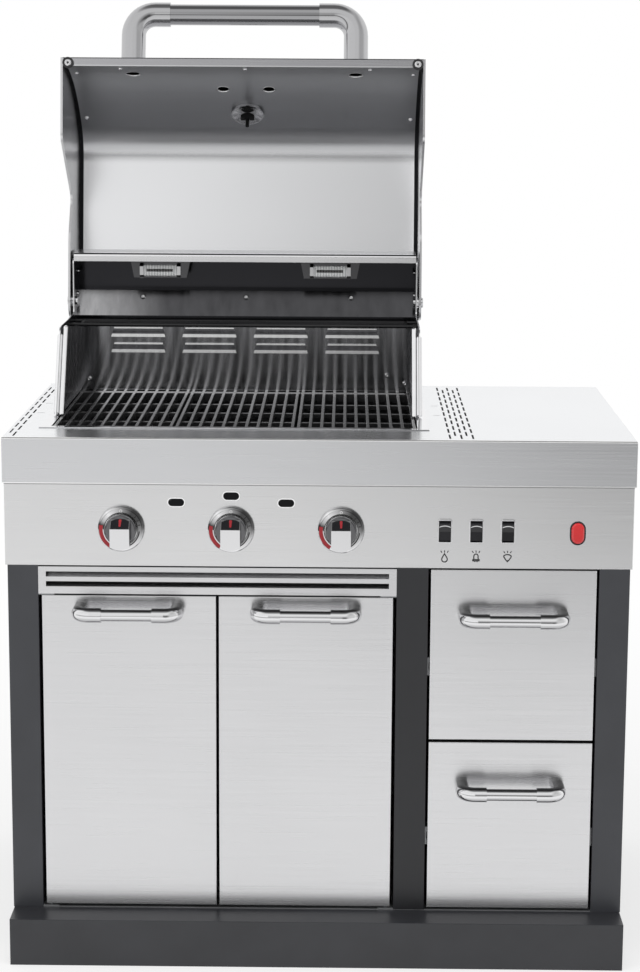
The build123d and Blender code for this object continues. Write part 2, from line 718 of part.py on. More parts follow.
def rocker(x):
    pivot = rocker_pivot()
    half = SWITCH_WIDTH / 2 - SWITCH_RIM - ROCKER_CLEARANCE
    drum = rod_x(2 * ROCKER_RADIUS, x - half, x + half, pivot, SWITCH_HEIGHT)
    reach = ROCKER_RADIUS
    saddle = outline([
        (pivot + ROCKER_CREST, SWITCH_HEIGHT - reach),
        (pivot - ROCKER_CREST - ROCKER_DISH, SWITCH_HEIGHT - reach),
        (pivot - ROCKER_CREST, SWITCH_HEIGHT),
        (pivot - ROCKER_CREST - ROCKER_DISH, SWITCH_HEIGHT + reach),
        (pivot + ROCKER_CREST, SWITCH_HEIGHT + reach),
    ])
    shape = drum & along_x(saddle, x - half, x + half)
    centre = Pos(0, pivot, SWITCH_HEIGHT)
    return centre * Rot(X=ROCKER_TILT) * centre.inverse() * shape


def indicator_lens(x, z):
    plug = obround_y(LENS_LENGTH, LENS_HEIGHT, PANEL_SETBACK - LENS_PROUD, PANEL_SETBACK + LENS_DEPTH, x, z)
    return fillet(plug.edges().group_by(Axis.Y)[0], LENS_PROUD / 2)


def pilot_lamp():
    front = PANEL_SETBACK - PILOT_PROUD
    lamp = obround_y(PILOT_LENGTH, PILOT_WIDTH, front, PANEL_SETBACK + LENS_DEPTH, PILOT_X, PILOT_HEIGHT, True)
    return fillet(lamp.edges().group_by(Axis.Y)[0], PILOT_PROUD * 0.7)


# Grill

def pan_profile(inset, top):
    """The pan from the side: upright ends and a bottom that falls to a trough."""
    front, back = PAN_FRONT + inset, PAN_BACK - inset
    middle = (front + back) / 2
    return outline([
        (front, top),
        (front, PAN_SHOULDER + inset),
        (middle - PAN_TROUGH / 2, PAN_FLOOR + inset),
        (middle + PAN_TROUGH / 2, PAN_FLOOR + inset),
        (back, PAN_SHOULDER + inset),
        (back, top),
    ])


def firebox_pan():
    centre = GRILL_CENTRE
    inner = PAN_HALF - PAN_SHEET
    pan = along_x(pan_profile(0, WORKTOP_HEIGHT), centre - PAN_HALF, centre + PAN_HALF)
    pan += block(
        centre - FLANGE_HALF, centre + FLANGE_HALF, FLANGE_FRONT, FLANGE_BACK, WORKTOP_HEIGHT, FLANGE_TOP,
    )
    pan += block(
        centre - inner, centre + inner, PAN_INNER_BACK, PAN_BACK, WORKTOP_HEIGHT, FLANGE_TOP + REAR_LIP,
    )
    pan -= along_x(pan_profile(PAN_SHEET, FLANGE_TOP), centre - inner, centre + inner)
    for y0 in (PAN_INNER_FRONT, PAN_INNER_BACK - LEDGE_WIDTH):
        pan += block(centre - inner, centre + inner, y0, y0 + LEDGE_WIDTH, GRATE_REST - PAN_SHEET, GRATE_REST)
    middle = (PAN_FRONT + PAN_BACK) / 2
    cuts = [block(
        centre - DRAIN_LENGTH / 2, centre + DRAIN_LENGTH / 2, middle - DRAIN_WIDTH / 2, middle + DRAIN_WIDTH / 2,
        PAN_FLOOR, PAN_FLOOR + PAN_SHEET,
    )]
    hole = BURNER_DIAMETER + 2 * BURNER_FIT
    cuts += [rod_y(hole, PAN_FRONT, PAN_INNER_FRONT, x, BURNER_HEIGHT) for x in KNOB_PLACES]
    return pan - cuts


def grease_tray():
    middle = (PAN_FRONT + PAN_BACK) / 2
    half = TRAY_LENGTH / 2
    reach = PAN_TROUGH / 2
    low = PAN_FLOOR - TRAY_HEIGHT
    tray = block(GRILL_CENTRE - half, GRILL_CENTRE + half, middle - reach, middle + reach, low, PAN_FLOOR)
    tray = fillet(tray.edges().filter_by(Axis.Z), TRAY_ROUND)
    return tray - block(
        GRILL_CENTRE - half + TRAY_SHEET, GRILL_CENTRE + half - TRAY_SHEET,
        middle - reach + TRAY_SHEET, middle + reach - TRAY_SHEET, low + TRAY_SHEET, PAN_FLOOR,
    )


def burner(x):
    back = PAN_INNER_BACK - BURNER_SHORT
    tube = rod_y(BURNER_DIAMETER, BURNER_MOUTH, back, x, BURNER_HEIGHT)
    wall = (BURNER_DIAMETER - BURNER_BORE) / 2
    tube = fillet(tube.edges().group_by(Axis.Y)[-1], wall)
    return tube - rod_y(BURNER_BORE, BURNER_MOUTH, back - wall, x, BURNER_HEIGHT)


def heat_tent(x):
    rise = TENT_PEAK - TENT_FOOT
    drop = TENT_SHEET * 2
    face = make_face(Polyline(
        (x - TENT_HALF, TENT_FOOT), (x, TENT_PEAK), (x + TENT_HALF, TENT_FOOT),
        (x + TENT_HALF - drop * TENT_HALF / rise, TENT_FOOT), (x, TENT_PEAK - drop),
        (x - TENT_HALF + drop * TENT_HALF / rise, TENT_FOOT), close=True,
    ))
    sheet = Plane.XZ.offset(-PAN_INNER_BACK) * face
    return extrude(sheet, amount=PAN_INNER_BACK - PAN_INNER_FRONT)


def cooking_grate(index):
    inner = PAN_HALF - PAN_SHEET - GRATE_END_CLEARANCE
    width = (2 * inner - GRATE_GAP * (GRATE_COUNT - 1)) / GRATE_COUNT
    left = GRILL_CENTRE - inner + index * (width + GRATE_GAP)
    front = PAN_INNER_FRONT + GRATE_END_CLEARANCE
    back = PAN_INNER_BACK - GRATE_END_CLEARANCE
    top = GRATE_TOP
    edge = max(GRATE_BAR, GRATE_BAR_FOOT) / 2
    pitch = (width - 2 * edge) / (GRATE_BAR_COUNT - 1)
    grate = block(left, left + width, front, front + GRATE_END, GRATE_REST, top)
    grate += block(left, left + width, back - GRATE_END, back, GRATE_REST, top)
    pieces = []
    for i in range(GRATE_BAR_COUNT):
        x = left + edge + i * pitch
        section = make_face(Polyline(
            (x - GRATE_BAR_FOOT / 2, GRATE_REST), (x + GRATE_BAR_FOOT / 2, GRATE_REST),
            (x + GRATE_BAR / 2, top), (x - GRATE_BAR / 2, top), close=True,
        ))
        pieces.append(extrude(Plane.XZ.offset(-back) * section, amount=back - front))
    for i in range(GRATE_RIB_COUNT):
        y = front + (back - front) * (i + 1) / (GRATE_RIB_COUNT + 1)
        pieces.append(block(
            left + edge, left + width - edge, y - GRATE_RIB / 2, y + GRATE_RIB / 2,
            GRATE_REST, GRATE_REST + GRATE_RIB_HEIGHT,
        ))
    return grate + pieces


def rim_strip(short):
    """The rim from the side: a strip up the wall's leaning front edge that stops some way short of its top."""
    slope = WALL_LEAN / WALL_HEIGHT
    top = WALL_TOP - short
    back = WALL_FRONT + WALL_LEAN - short * slope
    return outline([
        (WALL_FRONT, FLANGE_TOP),
        (WALL_FRONT + RIM_DEPTH, FLANGE_TOP),
        (back + RIM_DEPTH, top),
        (back, top),
    ])


def firebox_wall():
    """The left wall: a sheet with a rolled rim along its leaning front edge and an upstand at the back."""
    face = outline(
        [
            (WALL_FRONT, FLANGE_TOP),
            (WALL_FRONT + WALL_LEAN, WALL_TOP),
            (UPSTAND_FRONT, WALL_TOP),
            (UPSTAND_FRONT, UPSTAND_TOP),
            (HOUSING_BACK, UPSTAND_TOP),
            (HOUSING_BACK, FLANGE_TOP),
        ],
        [
            ((WALL_FRONT + WALL_LEAN, WALL_TOP), WALL_CORNER),
            ((UPSTAND_FRONT, WALL_TOP), WALL_CORNER / 2),
            ((UPSTAND_FRONT, UPSTAND_TOP), WALL_CORNER / 2),
        ],
    )
    wall = along_x(face, GRILL_CENTRE - WALL_HALF, GRILL_CENTRE - WALL_INNER)
    split = GRILL_CENTRE - RIM_OUTER + RIM_ROLL
    roll = along_x(rim_strip(RIM_SHORT), GRILL_CENTRE - RIM_OUTER, split)
    roll = fillet(roll.edges(), RIM_ROUND)
    strip = along_x(rim_strip(0), split, GRILL_CENTRE - RIM_INNER)
    strip = fillet(strip.edges(), RIM_STRIP_ROUND)
    pin = rod_x(PIVOT_PIN, GRILL_CENTRE - WALL_HALF, GRILL_CENTRE - WALL_INNER, PIVOT_DEPTH, PIVOT_HEIGHT)
    return wall + roll + strip - pin


def rear_louvre_wall():
    """The rear wall, pressed out into hoods that are open below."""
    back = REAR_WALL + REAR_WALL_SHEET
    wall = block(
        GRILL_CENTRE - WALL_INNER, GRILL_CENTRE + WALL_INNER, REAR_WALL, back, FLANGE_TOP, REAR_WALL_TOP,
    )
    half = HOOD_LENGTH / 2
    sheet = REAR_WALL_SHEET
    hoods = []
    hollows = []
    for row in range(HOOD_ROW_COUNT):
        lip = REAR_WALL_TOP - HOOD_DROP - HOOD_ROW_PITCH * row
        top = lip + HOOD_HEIGHT
        slope = outline([(REAR_WALL, top), (REAR_WALL - HOOD_PROUD, lip), (REAR_WALL, lip)])
        hollow = outline([
            (back, top - 2 * sheet),
            (REAR_WALL, top - 3 * sheet),
            (REAR_WALL - HOOD_PROUD + sheet, lip),
            (back, lip),
        ])
        for column in range(HOOD_COLUMN_COUNT):
            x = GRILL_CENTRE + (column - (HOOD_COLUMN_COUNT - 1) / 2) * HOOD_PITCH
            face = make_face(Polyline(
                (x - half, lip), (x + half, lip), (x + half - HOOD_SLANT, top), (x - half + HOOD_SLANT, top),
                close=True,
            ))
            ends = extrude(Plane.XZ.offset(-REAR_WALL) * face, amount=HOOD_PROUD)
            hoods.append(along_x(slope, x - half, x + half) & ends)
            reach = half - HOOD_SLANT - sheet
            hollows.append(along_x(hollow, x - reach, x + reach))
    return wall + hoods - hollows


def rear_housing():
    x0, x1 = GRILL_CENTRE - WALL_INNER, GRILL_CENTRE + WALL_INNER
    shell = block(x0, x1, UPSTAND_FRONT, HOUSING_BACK, FLANGE_TOP, HOUSING_TOP)
    shell = fillet(shell.edges().filter_by(Axis.X).group_by(Axis.Z)[-1], BAND_ROUND)
    hollow = block(x0, x1, UPSTAND_FRONT + PANEL_SHEET, HOUSING_INNER_BACK, FLANGE_TOP, HOUSING_UNDER)
    hollow = fillet(hollow.edges().filter_by(Axis.X).group_by(Axis.Z)[-1], BAND_ROUND - PANEL_SHEET)
    shell -= hollow
    return shell - block(
        x0, x1, UPSTAND_FRONT, UPSTAND_FRONT + PANEL_SHEET, FLANGE_TOP, HOUSING_TOP - BAND_HEIGHT,
    )


def rear_baffle():
    top = BAFFLE_BOTTOM + BAFFLE_HEIGHT
    back = BAFFLE_FRONT + BAFFLE_LEAN
    sheet = outline([
        (BAFFLE_FRONT, BAFFLE_BOTTOM),
        (back, top),
        (HOUSING_INNER_BACK, top),
        (HOUSING_INNER_BACK, top - PANEL_SHEET),
        (back + PANEL_SHEET / 2, top - PANEL_SHEET),
        (BAFFLE_FRONT + PANEL_SHEET, BAFFLE_BOTTOM),
    ])
    return along_x(sheet, GRILL_CENTRE - WALL_INNER, GRILL_CENTRE + WALL_INNER)


def lamp_places():
    return [GRILL_CENTRE - LAMP_PITCH / 2, GRILL_CENTRE + LAMP_PITCH / 2]


def lamp_glass(x, front):
    low = LAMP_BOTTOM + GLASS_RISE
    half = GLASS_LENGTH / 2
    return block(x - half, x + half, front, LAMP_FRONT + GLASS_RECESS, low, low + GLASS_HEIGHT)


def lamp_housing(x):
    """A light's housing, hung under the rear hood and narrower below, with a recess for its glass."""
    half = LAMP_WIDTH / 2
    face = make_face(Polyline(
        (x - half, HOUSING_UNDER), (x + half, HOUSING_UNDER),
        (x + half - LAMP_TAPER, LAMP_BOTTOM), (x - half + LAMP_TAPER, LAMP_BOTTOM), close=True,
    ))
    box = extrude(Plane.XZ.offset(-LAMP_FRONT - LAMP_DEPTH) * face, amount=LAMP_DEPTH)
    return box - lamp_glass(x, LAMP_FRONT)


def lamp_lens(x):
    glass = lamp_glass(x, LAMP_FRONT - GLASS_PROUD)
    return fillet(glass.edges().group_by(Axis.Y)[0], GLASS_PROUD * 0.9)


def warming_rack():
    x0, x1 = GRILL_CENTRE - RACK_HALF, GRILL_CENTRE + RACK_HALF
    wall0, wall1 = GRILL_CENTRE - WALL_INNER, GRILL_CENTRE + WALL_INNER
    step = RACK_DEPTH / (RACK_WIRE_COUNT - 1)
    rack = rod_x(RACK_FRAME, wall0, wall1, RACK_FRONT, RACK_HEIGHT)
    pieces = [rod_x(RACK_FRAME, wall0, wall1, RACK_BACK, RACK_HEIGHT)]
    pieces += [rod_y(RACK_SIDE, RACK_FRONT, RACK_BACK, x, RACK_HEIGHT) for x in (x0, x1)]
    pieces += [
        rod_x(RACK_WIRE, x0, x1, RACK_FRONT + step * i, RACK_HEIGHT) for i in range(1, RACK_WIRE_COUNT - 1)
    ]
    return rack + pieces


# Lid, drawn shut

def opened(shape):
    """Swing a piece of the shut lid back to its open rest."""
    pivot = Pos(0, PIVOT_DEPTH, PIVOT_HEIGHT)
    return pivot * Rot(X=-LID_OPEN) * pivot.inverse() * shape


def lid_curve(inset):
    """The lid's line from the front edge over the corner to the back, some way inside its outer face."""
    front = JernArc(
        (LID_FRONT + inset, LID_BOTTOM), (0, 1), LID_FRONT_RADIUS - inset, -LID_FRONT_TURN,
    )
    corner = JernArc(front @ 1, front % 1, LID_CORNER_RADIUS - inset, LID_FRONT_TURN - 90)
    top = Line(corner @ 1, (LID_BACK, LID_TOP - inset))
    return [front, corner, top]


def lid_band(outer, inner):
    """The space between two lines of the lid."""
    over = lid_curve(outer)
    under = lid_curve(inner)
    back = Line(over[-1] @ 1, under[-1] @ 1)
    front = Line(under[0] @ 0, over[0] @ 0)
    return make_face(over + [back] + under + [front])


def lid_point(rise):
    """Place and lean in degrees of a point up the lid's front, measured along its outer face."""
    lean = rise / LID_FRONT_RADIUS
    place = (LID_FRONT + LID_FRONT_RADIUS * (1 - cos(lean)), LID_BOTTOM + LID_FRONT_RADIUS * sin(lean))
    return place, degrees(lean)


def on_lid(rise, x):
    """A place on the lid's front, with its own Z standing out of the lid."""
    (y, z), lean = lid_point(rise)
    return Pos(x, y, z) * Rot(X=90 - lean)


def lid_drill(rise, x, diameter):
    """A hole square through both sheets of the lid."""
    depth = LID_DOUBLE + 4 * LID_SHEET
    return on_lid(rise, x) * Pos(0, 0, -depth / 2 + LID_SHEET) * Cylinder(diameter / 2, depth)


def lid_skin():
    half = LID_INNER
    skin = along_x(lid_band(0, LID_SHEET), GRILL_CENTRE - half, GRILL_CENTRE + half)
    skin += block(
        GRILL_CENTRE - half, GRILL_CENTRE + half, LID_BACK, LID_BACK + LID_SHEET,
        LID_TOP - LID_DOUBLE - LID_SHEET, LID_TOP,
    )
    return skin - lid_drill(THERMO_RISE, GRILL_CENTRE, THERMO_HOLE)


def lid_liner():
    half = LID_INNER - LID_LINER_GAP
    liner = along_x(
        lid_band(LID_DOUBLE, LID_DOUBLE + LID_SHEET), GRILL_CENTRE - half, GRILL_CENTRE + half,
    )
    reach = LID_HANDLE_SPAN / 2
    small = ACCESS_SMALL_PITCH / 2
    cuts = [lid_drill(THERMO_RISE, GRILL_CENTRE, THERMO_HOLE)]
    cuts += [lid_drill(LID_HANDLE_RISE, GRILL_CENTRE + x, ACCESS_HOLE) for x in (-reach, reach)]
    cuts += [lid_drill(ACCESS_SMALL_RISE, GRILL_CENTRE + x, ACCESS_SMALL) for x in (-small, small)]
    return liner - cuts


def lid_front_rail():
    half = LID_INNER
    x0, x1 = GRILL_CENTRE - half, GRILL_CENTRE + half
    channel = along_x(lid_band(LID_SHEET, LID_DOUBLE), x0, x1)
    return channel & block(
        x0, x1, LID_FRONT, LID_FRONT + 2 * LID_DOUBLE, LID_BOTTOM, LID_BOTTOM + FRONT_RAIL,
    )


def lid_plate():
    """The left side plate: it follows the lid's line, and is notched to clear the firebox wall."""
    low = PIVOT_HEIGHT - LOBE_RADIUS
    skirt = LID_BOTTOM + SKIRT_CLEARANCE
    lobe = (PIVOT_DEPTH + LOBE_RADIUS, low)
    notch = [
        (PIVOT_DEPTH - NOTCH_END, low),
        (PIVOT_DEPTH - NOTCH_MIDDLE, PIVOT_HEIGHT + NOTCH_RISE),
        (WALL_FRONT + NOTCH_START, skirt),
    ]
    curve = lid_curve(0)
    back = (LID_BACK + LID_SHEET, LID_TOP)
    edges = curve + [
        Line(curve[-1] @ 1, back),
        Polyline(back, lobe, *notch, (LID_FRONT, LID_BOTTOM)),
    ]
    face = rounded(make_face(edges), [
        (lobe, LOBE_RADIUS * 0.95),
        (notch[0], LOBE_RADIUS),
        (notch[1], NOTCH_ROUND),
        (notch[2], NOTCH_ROUND),
    ])
    plate = along_x(face, GRILL_CENTRE - LID_HALF, GRILL_CENTRE - LID_INNER)
    bore = PIVOT_PIN + 2 * PIVOT_CLEARANCE
    return plate - rod_x(
        bore, GRILL_CENTRE - LID_HALF, GRILL_CENTRE - LID_INNER, PIVOT_DEPTH, PIVOT_HEIGHT,
    )


def lid_pivot_bolt():
    """The left bolt: head outside the lid plate, collar between plate and wall, nut inside the wall."""
    outside = GRILL_CENTRE - LID_HALF - PIVOT_CLEARANCE
    wall_out = GRILL_CENTRE - WALL_HALF
    wall_in = GRILL_CENTRE - WALL_INNER
    collar = GRILL_CENTRE - LID_INNER + PIVOT_CLEARANCE
    thick = PIVOT_HEAD_THICKNESS
    bolt = rod_x(PIVOT_PIN, outside, wall_in + thick, PIVOT_DEPTH, PIVOT_HEIGHT)
    head = rod_x(PIVOT_HEAD, outside - thick, outside, PIVOT_DEPTH, PIVOT_HEIGHT)
    head = fillet(head.edges().group_by(Axis.X)[0], thick / 2)
    spacer = rod_x(PIVOT_HEAD, collar, wall_out, PIVOT_DEPTH, PIVOT_HEIGHT)
    nut = rod_x(PIVOT_NUT, wall_in, wall_in + thick, PIVOT_DEPTH, PIVOT_HEIGHT)
    return bolt + head + spacer + nut


def lid_bumper(sign):
    return rod_z(
        BUMPER_DIAMETER, FLANGE_TOP + BUMPER_CLEARANCE, LID_BOTTOM,
        GRILL_CENTRE + sign * (LID_HALF - BUMPER_INSET), LID_FRONT + BUMPER_DIAMETER / 2,
    )


def bow_handle(span, bar, elbow, reach, bend, sleeve):
    """A bar between two cast elbows whose legs stand on a panel at Y 0."""
    half = span / 2
    down = Line((-half, 0), (-half, bend - reach))
    turn = JernArc(down @ 1, (0, -1), bend, 90)
    out = Line(turn @ 1, (sleeve - half, -reach))
    section = Pos(-half, 0, 0) * Rot(X=90) * Circle(elbow / 2)
    path = Wire([down, turn, out])
    left = sweep(section, path=path)
    hollow = sweep(Pos(-half, 0, 0) * Rot(X=90) * Circle(bar / 2 - HANDLE_WALL), path=path)
    tube = rod_x(bar, sleeve - half, half - sleeve, -reach, 0)
    tube -= rod_x(bar - 2 * HANDLE_WALL, sleeve - half, half - sleeve, -reach, 0)
    left -= hollow
    return left + mirror(left, about=Plane.YZ) + tube


def lid_handle():
    (y, z), lean = lid_point(LID_HANDLE_RISE)
    handle = bow_handle(
        LID_HANDLE_SPAN, LID_HANDLE_BAR, LID_HANDLE_ELBOW, LID_HANDLE_REACH, LID_HANDLE_BEND, LID_HANDLE_SLEEVE,
    )
    return Pos(GRILL_CENTRE, y, z) * Rot(X=-lean) * handle


def lid_thermometer():
    under = LID_DOUBLE + LID_SHEET
    seat = THERMO_CUP ** 2 / (8 * (LID_FRONT_RADIUS - under)) + STEM_CLEARANCE
    dial = Pos(0, 0, THERMO_DIAL_HEIGHT / 2) * Cylinder(THERMO_DIAL / 2, THERMO_DIAL_HEIGHT)
    dial = fillet(dial.edges().group_by(Axis.Z)[-1], THERMO_DIAL_HEIGHT / 3)
    cup_top = -under - seat
    cup = Pos(0, 0, cup_top - THERMO_CUP_DEPTH / 2) * Cylinder(THERMO_CUP / 2, THERMO_CUP_DEPTH)
    low = cup_top - THERMO_CUP_DEPTH
    dish = Pos(0, 0, low + THERMO_CUP_DEPTH / 3) * Cone(
        THERMO_CUP / 2 - THERMO_CUP_RIM, THERMO_DISH / 2, THERMO_CUP_DEPTH * 2 / 3,
    )
    tip = low - THERMO_NUT
    stem = Pos(0, 0, tip / 2) * Cylinder(THERMO_STEM / 2, -tip)
    floor = low + THERMO_CUP_DEPTH * 2 / 3
    wing = Pos(0, 0, floor - THERMO_NUT_HEIGHT / 2) * Box(THERMO_NUT, THERMO_STEM, THERMO_NUT_HEIGHT)
    return on_lid(THERMO_RISE, GRILL_CENTRE) * (dial + (cup - dish) + stem + wing)


# Doors and drawers

def door_spans():
    """The left and right edges of each door."""
    x0 = -CORNER_INNER + DOOR_SIDE_GAP
    x1 = MIDDLE_POST_LEFT - DOOR_SIDE_GAP
    middle = (x0 + x1) / 2
    return (x0, middle - DOOR_MIDDLE_GAP / 2), (middle + DOOR_MIDDLE_GAP / 2, x1)


def hinge_places():
    left, right = door_spans()
    return left[0] + HINGE_INSET, right[1] - HINGE_INSET


def hinge_depth():
    return DOOR_THICKNESS / 2


def folded_panel(x0, x1, thick, z0, z1):
    """A sheet front with its edges folded back and turned in behind."""
    sheet = DOOR_SHEET
    lap = DOOR_LAP
    panel = block(x0, x1, 0, thick, z0, z1)
    panel = fillet(panel.edges().group_by(Axis.Y)[0], DOOR_ROUND)
    panel -= block(x0 + sheet, x1 - sheet, sheet, thick - sheet, z0 + sheet, z1 - sheet)
    return panel - block(x0 + lap, x1 - lap, thick - sheet, thick, z0 + lap, z1 - lap)


def door(span, hinge_x):
    panel = folded_panel(span[0], span[1], DOOR_THICKNESS, DOOR_BOTTOM, DOOR_TOP)
    x0, x1 = hinge_x - HINGE_INSET + DOOR_SHEET, hinge_x + HINGE_INSET - DOOR_SHEET
    for z0, z1 in ((DOOR_BOTTOM, DOOR_BOTTOM + DOOR_LAP), (DOOR_TOP - DOOR_LAP, DOOR_TOP)):
        panel += block(x0, x1, DOOR_SHEET, DOOR_THICKNESS - DOOR_SHEET, z0, z1)
    bore = HINGE_PIN + 2 * HINGE_CLEARANCE
    reach = HINGE_PIN_REACH + HINGE_CLEARANCE
    low = rod_z(bore, DOOR_BOTTOM, DOOR_BOTTOM + reach, hinge_x, hinge_depth())
    high = rod_z(bore, DOOR_TOP - reach, DOOR_TOP, hinge_x, hinge_depth())
    return panel - low - high


def door_hinges():
    """A plate on the floor and one under the louvre panel for each door, each with its pin."""
    depth = hinge_depth()
    parts = []
    for x, wall in zip(hinge_places(), (-CORNER_INNER, MIDDLE_POST_LEFT)):
        inner = 2 * x - wall
        x0, x1 = min(wall, inner), max(wall, inner)
        low = block(x0, x1, PANEL_SHEET, 2 * depth, FLOOR_TOP, FLOOR_TOP + HINGE_PLATE)
        low += rod_z(HINGE_PIN, FLOOR_TOP + HINGE_PLATE, DOOR_BOTTOM + HINGE_PIN_REACH, x, depth)
        high = block(x0, x1, PANEL_SHEET, 2 * depth, LOUVRE_BOTTOM - HINGE_PLATE, LOUVRE_BOTTOM)
        high += rod_z(HINGE_PIN, DOOR_TOP - HINGE_PIN_REACH, LOUVRE_BOTTOM - HINGE_PLATE, x, depth)
        parts += [low, high]
    return group(parts)


def panel_handle(x, z):
    handle = bow_handle(HANDLE_SPAN, HANDLE_BAR, HANDLE_ELBOW, HANDLE_REACH, HANDLE_BEND, HANDLE_SLEEVE)
    return Pos(x, 0, z) * handle


def drawer_span():
    return MIDDLE_POST_RIGHT + DRAWER_SIDE_GAP, CORNER_INNER - DRAWER_SIDE_GAP


def drawer_heights():
    """The bottom and top of the lower and the upper drawer front."""
    middle = (DRAWER_BOTTOM + DRAWER_TOP) / 2
    return (DRAWER_BOTTOM, middle - DRAWER_GAP / 2), (middle + DRAWER_GAP / 2, DRAWER_TOP)


def runner_height(low):
    return low + DRAWER_BOX_LIFT + DRAWER_BOX_HEIGHT / 2


def drawer_front(low, high):
    x0, x1 = drawer_span()
    return folded_panel(x0, x1, DRAWER_FRONT, low, high)


def drawer_box(low):
    """An open steel box with a runner along each side."""
    x0 = MIDDLE_POST_RIGHT + RAIL_WIDTH + BOX_CLEARANCE
    x1 = CORNER_INNER - RAIL_WIDTH - BOX_CLEARANCE
    y0, y1 = DRAWER_FRONT, DRAWER_FRONT + DRAWER_BOX_DEPTH
    z0 = low + DRAWER_BOX_LIFT
    z1 = z0 + DRAWER_BOX_HEIGHT
    sheet = DRAWER_SHEET
    box = block(x0, x1, y0, y1, z0, z1)
    box -= block(x0 + sheet, x1 - sheet, y0 + sheet, y1 - sheet, z0 + sheet, z1)
    middle = runner_height(low)
    half = RUNNER_HEIGHT / 2
    reach = RAIL_WIDTH - RAIL_WEB + BOX_CLEARANCE - RUNNER_SIDE_CLEARANCE
    start = y0 + RAIL_WEB
    box += block(x0 - reach, x0, start, y1, middle - half, middle + half)
    box += block(x1, x1 + reach, start, y1, middle - half, middle + half)
    return box


def drawer_rail(low, x_web, sign):
    """A C-rail whose web stands on a post and whose groove takes the drawer's runner."""
    middle = runner_height(low)
    y0 = DRAWER_FRONT + RAIL_WEB
    y1 = y0 + RAIL_LENGTH
    x0, x1 = sorted((x_web, x_web + sign * RAIL_WIDTH))
    g0, g1 = sorted((x_web + sign * RAIL_WEB, x_web + sign * RAIL_WIDTH))
    half = RUNNER_HEIGHT / 2 + RUNNER_CLEARANCE
    rail = block(x0, x1, y0, y1, middle - RAIL_HEIGHT / 2, middle + RAIL_HEIGHT / 2)
    return rail - block(g0, g1, y0, y1, middle - half, middle + half)


def drawer_rails():
    parts = []
    for low, high in drawer_heights():
        parts.append(drawer_rail(low, MIDDLE_POST_RIGHT, 1))
        parts.append(drawer_rail(low, CORNER_INNER, -1))
    return group(parts)


# Write every piece

def main():
    save("plinth", plinth())
    save("base_floor", base_floor())
    save("corner_posts", corner_posts())
    save("middle_post", middle_post())
    save("left_side_panel", side_panel(-1))
    save("right_side_panel", side_panel(1))
    save("back_panel", back_panel())
    save("divider_panel", divider_panel())
    save("control_panel", control_panel())
    save("louvre_panel", louvre_panel())
    save("worktop", worktop())

    save("firebox_pan", firebox_pan())
    wall = firebox_wall()
    save("firebox_left_wall", wall)
    save("firebox_right_wall", mirrored(wall))
    save("rear_louvre_wall", rear_louvre_wall())
    save("rear_housing", rear_housing())
    save("rear_baffle", rear_baffle())
    save("warming_rack", warming_rack())
    save("lamp_housings", group(lamp_housing(x) for x in lamp_places()))
    save("lamp_lenses", group(lamp_lens(x) for x in lamp_places()))
    save("burners", group(burner(x) for x in KNOB_PLACES))
    save("heat_tents", group(heat_tent(x) for x in KNOB_PLACES))
    save("cooking_grates", group(cooking_grate(i) for i in range(GRATE_COUNT)))
    save("grease_tray", grease_tray())

    save("gas_manifold", gas_manifold())
    save("gas_valves", group(gas_valve(x) for x in KNOB_PLACES))
    save("knob_bezels", group(knob_bezel(x) for x in KNOB_PLACES))
    save("switch_housings", group(switch_housing(x) for x in switch_places()))
    save("indicator_lenses", group(indicator_lens(x, z) for x, z in lens_places()))
    save("pilot_lamp", pilot_lamp())
    for side, x in zip(("left", "middle", "right"), KNOB_PLACES):
        save("valve_stem_" + side, valve_stem(x))
        save("knob_" + side, knob(x))
    for side, x in zip(("left", "middle", "right"), switch_places()):
        save("rocker_" + side, rocker(x))

    plate = opened(lid_plate())
    bolt = lid_pivot_bolt()
    save("lid_pivot_bolts", group((bolt, mirrored(bolt))))
    save("lid_skin", opened(lid_skin()))
    save("lid_liner", opened(lid_liner()))
    save("lid_front_rail", opened(lid_front_rail()))
    save("lid_left_plate", plate)
    save("lid_right_plate", mirrored(plate))
    save("lid_handle", opened(lid_handle()))
    save("lid_thermometer", opened(lid_thermometer()))
    save("lid_bumpers", group(opened(lid_bumper(sign)) for sign in (-1, 1)))

    save("door_hinges", door_hinges())
    for side, span, hinge_x in zip(("left", "right"), door_spans(), hinge_places()):
        save(side + "_door", door(span, hinge_x))
        save(side + "_door_handle", panel_handle(sum(span) / 2, DOOR_TOP - DOOR_HANDLE_DROP))

    save("drawer_rails", drawer_rails())
    for level, (low, high) in zip(("lower", "upper"), drawer_heights()):
        save(level + "_drawer_front", drawer_front(low, high))
        save(level + "_drawer_box", drawer_box(low))
        save(level + "_drawer_handle", panel_handle(sum(drawer_span()) / 2, high - DRAWER_HANDLE_DROP))


main()
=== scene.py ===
import math

import bpy
from mathutils import Matrix, Vector


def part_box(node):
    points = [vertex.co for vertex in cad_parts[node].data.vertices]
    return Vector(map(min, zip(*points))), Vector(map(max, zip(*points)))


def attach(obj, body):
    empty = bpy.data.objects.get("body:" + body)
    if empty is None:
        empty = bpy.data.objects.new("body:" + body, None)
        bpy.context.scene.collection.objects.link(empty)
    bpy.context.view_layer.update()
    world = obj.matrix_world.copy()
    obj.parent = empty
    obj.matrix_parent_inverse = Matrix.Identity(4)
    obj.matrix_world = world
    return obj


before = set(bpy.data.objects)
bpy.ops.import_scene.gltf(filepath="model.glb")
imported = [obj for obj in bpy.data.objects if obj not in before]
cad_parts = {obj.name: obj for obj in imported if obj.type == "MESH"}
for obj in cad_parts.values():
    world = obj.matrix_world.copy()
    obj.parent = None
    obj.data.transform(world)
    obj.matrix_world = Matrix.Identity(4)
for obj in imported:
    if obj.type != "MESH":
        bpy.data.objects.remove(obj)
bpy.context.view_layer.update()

# Places below are in millimetres from the cabinet's front face; the model's origin stands this far behind it
ORIGIN_DEPTH = 332.0
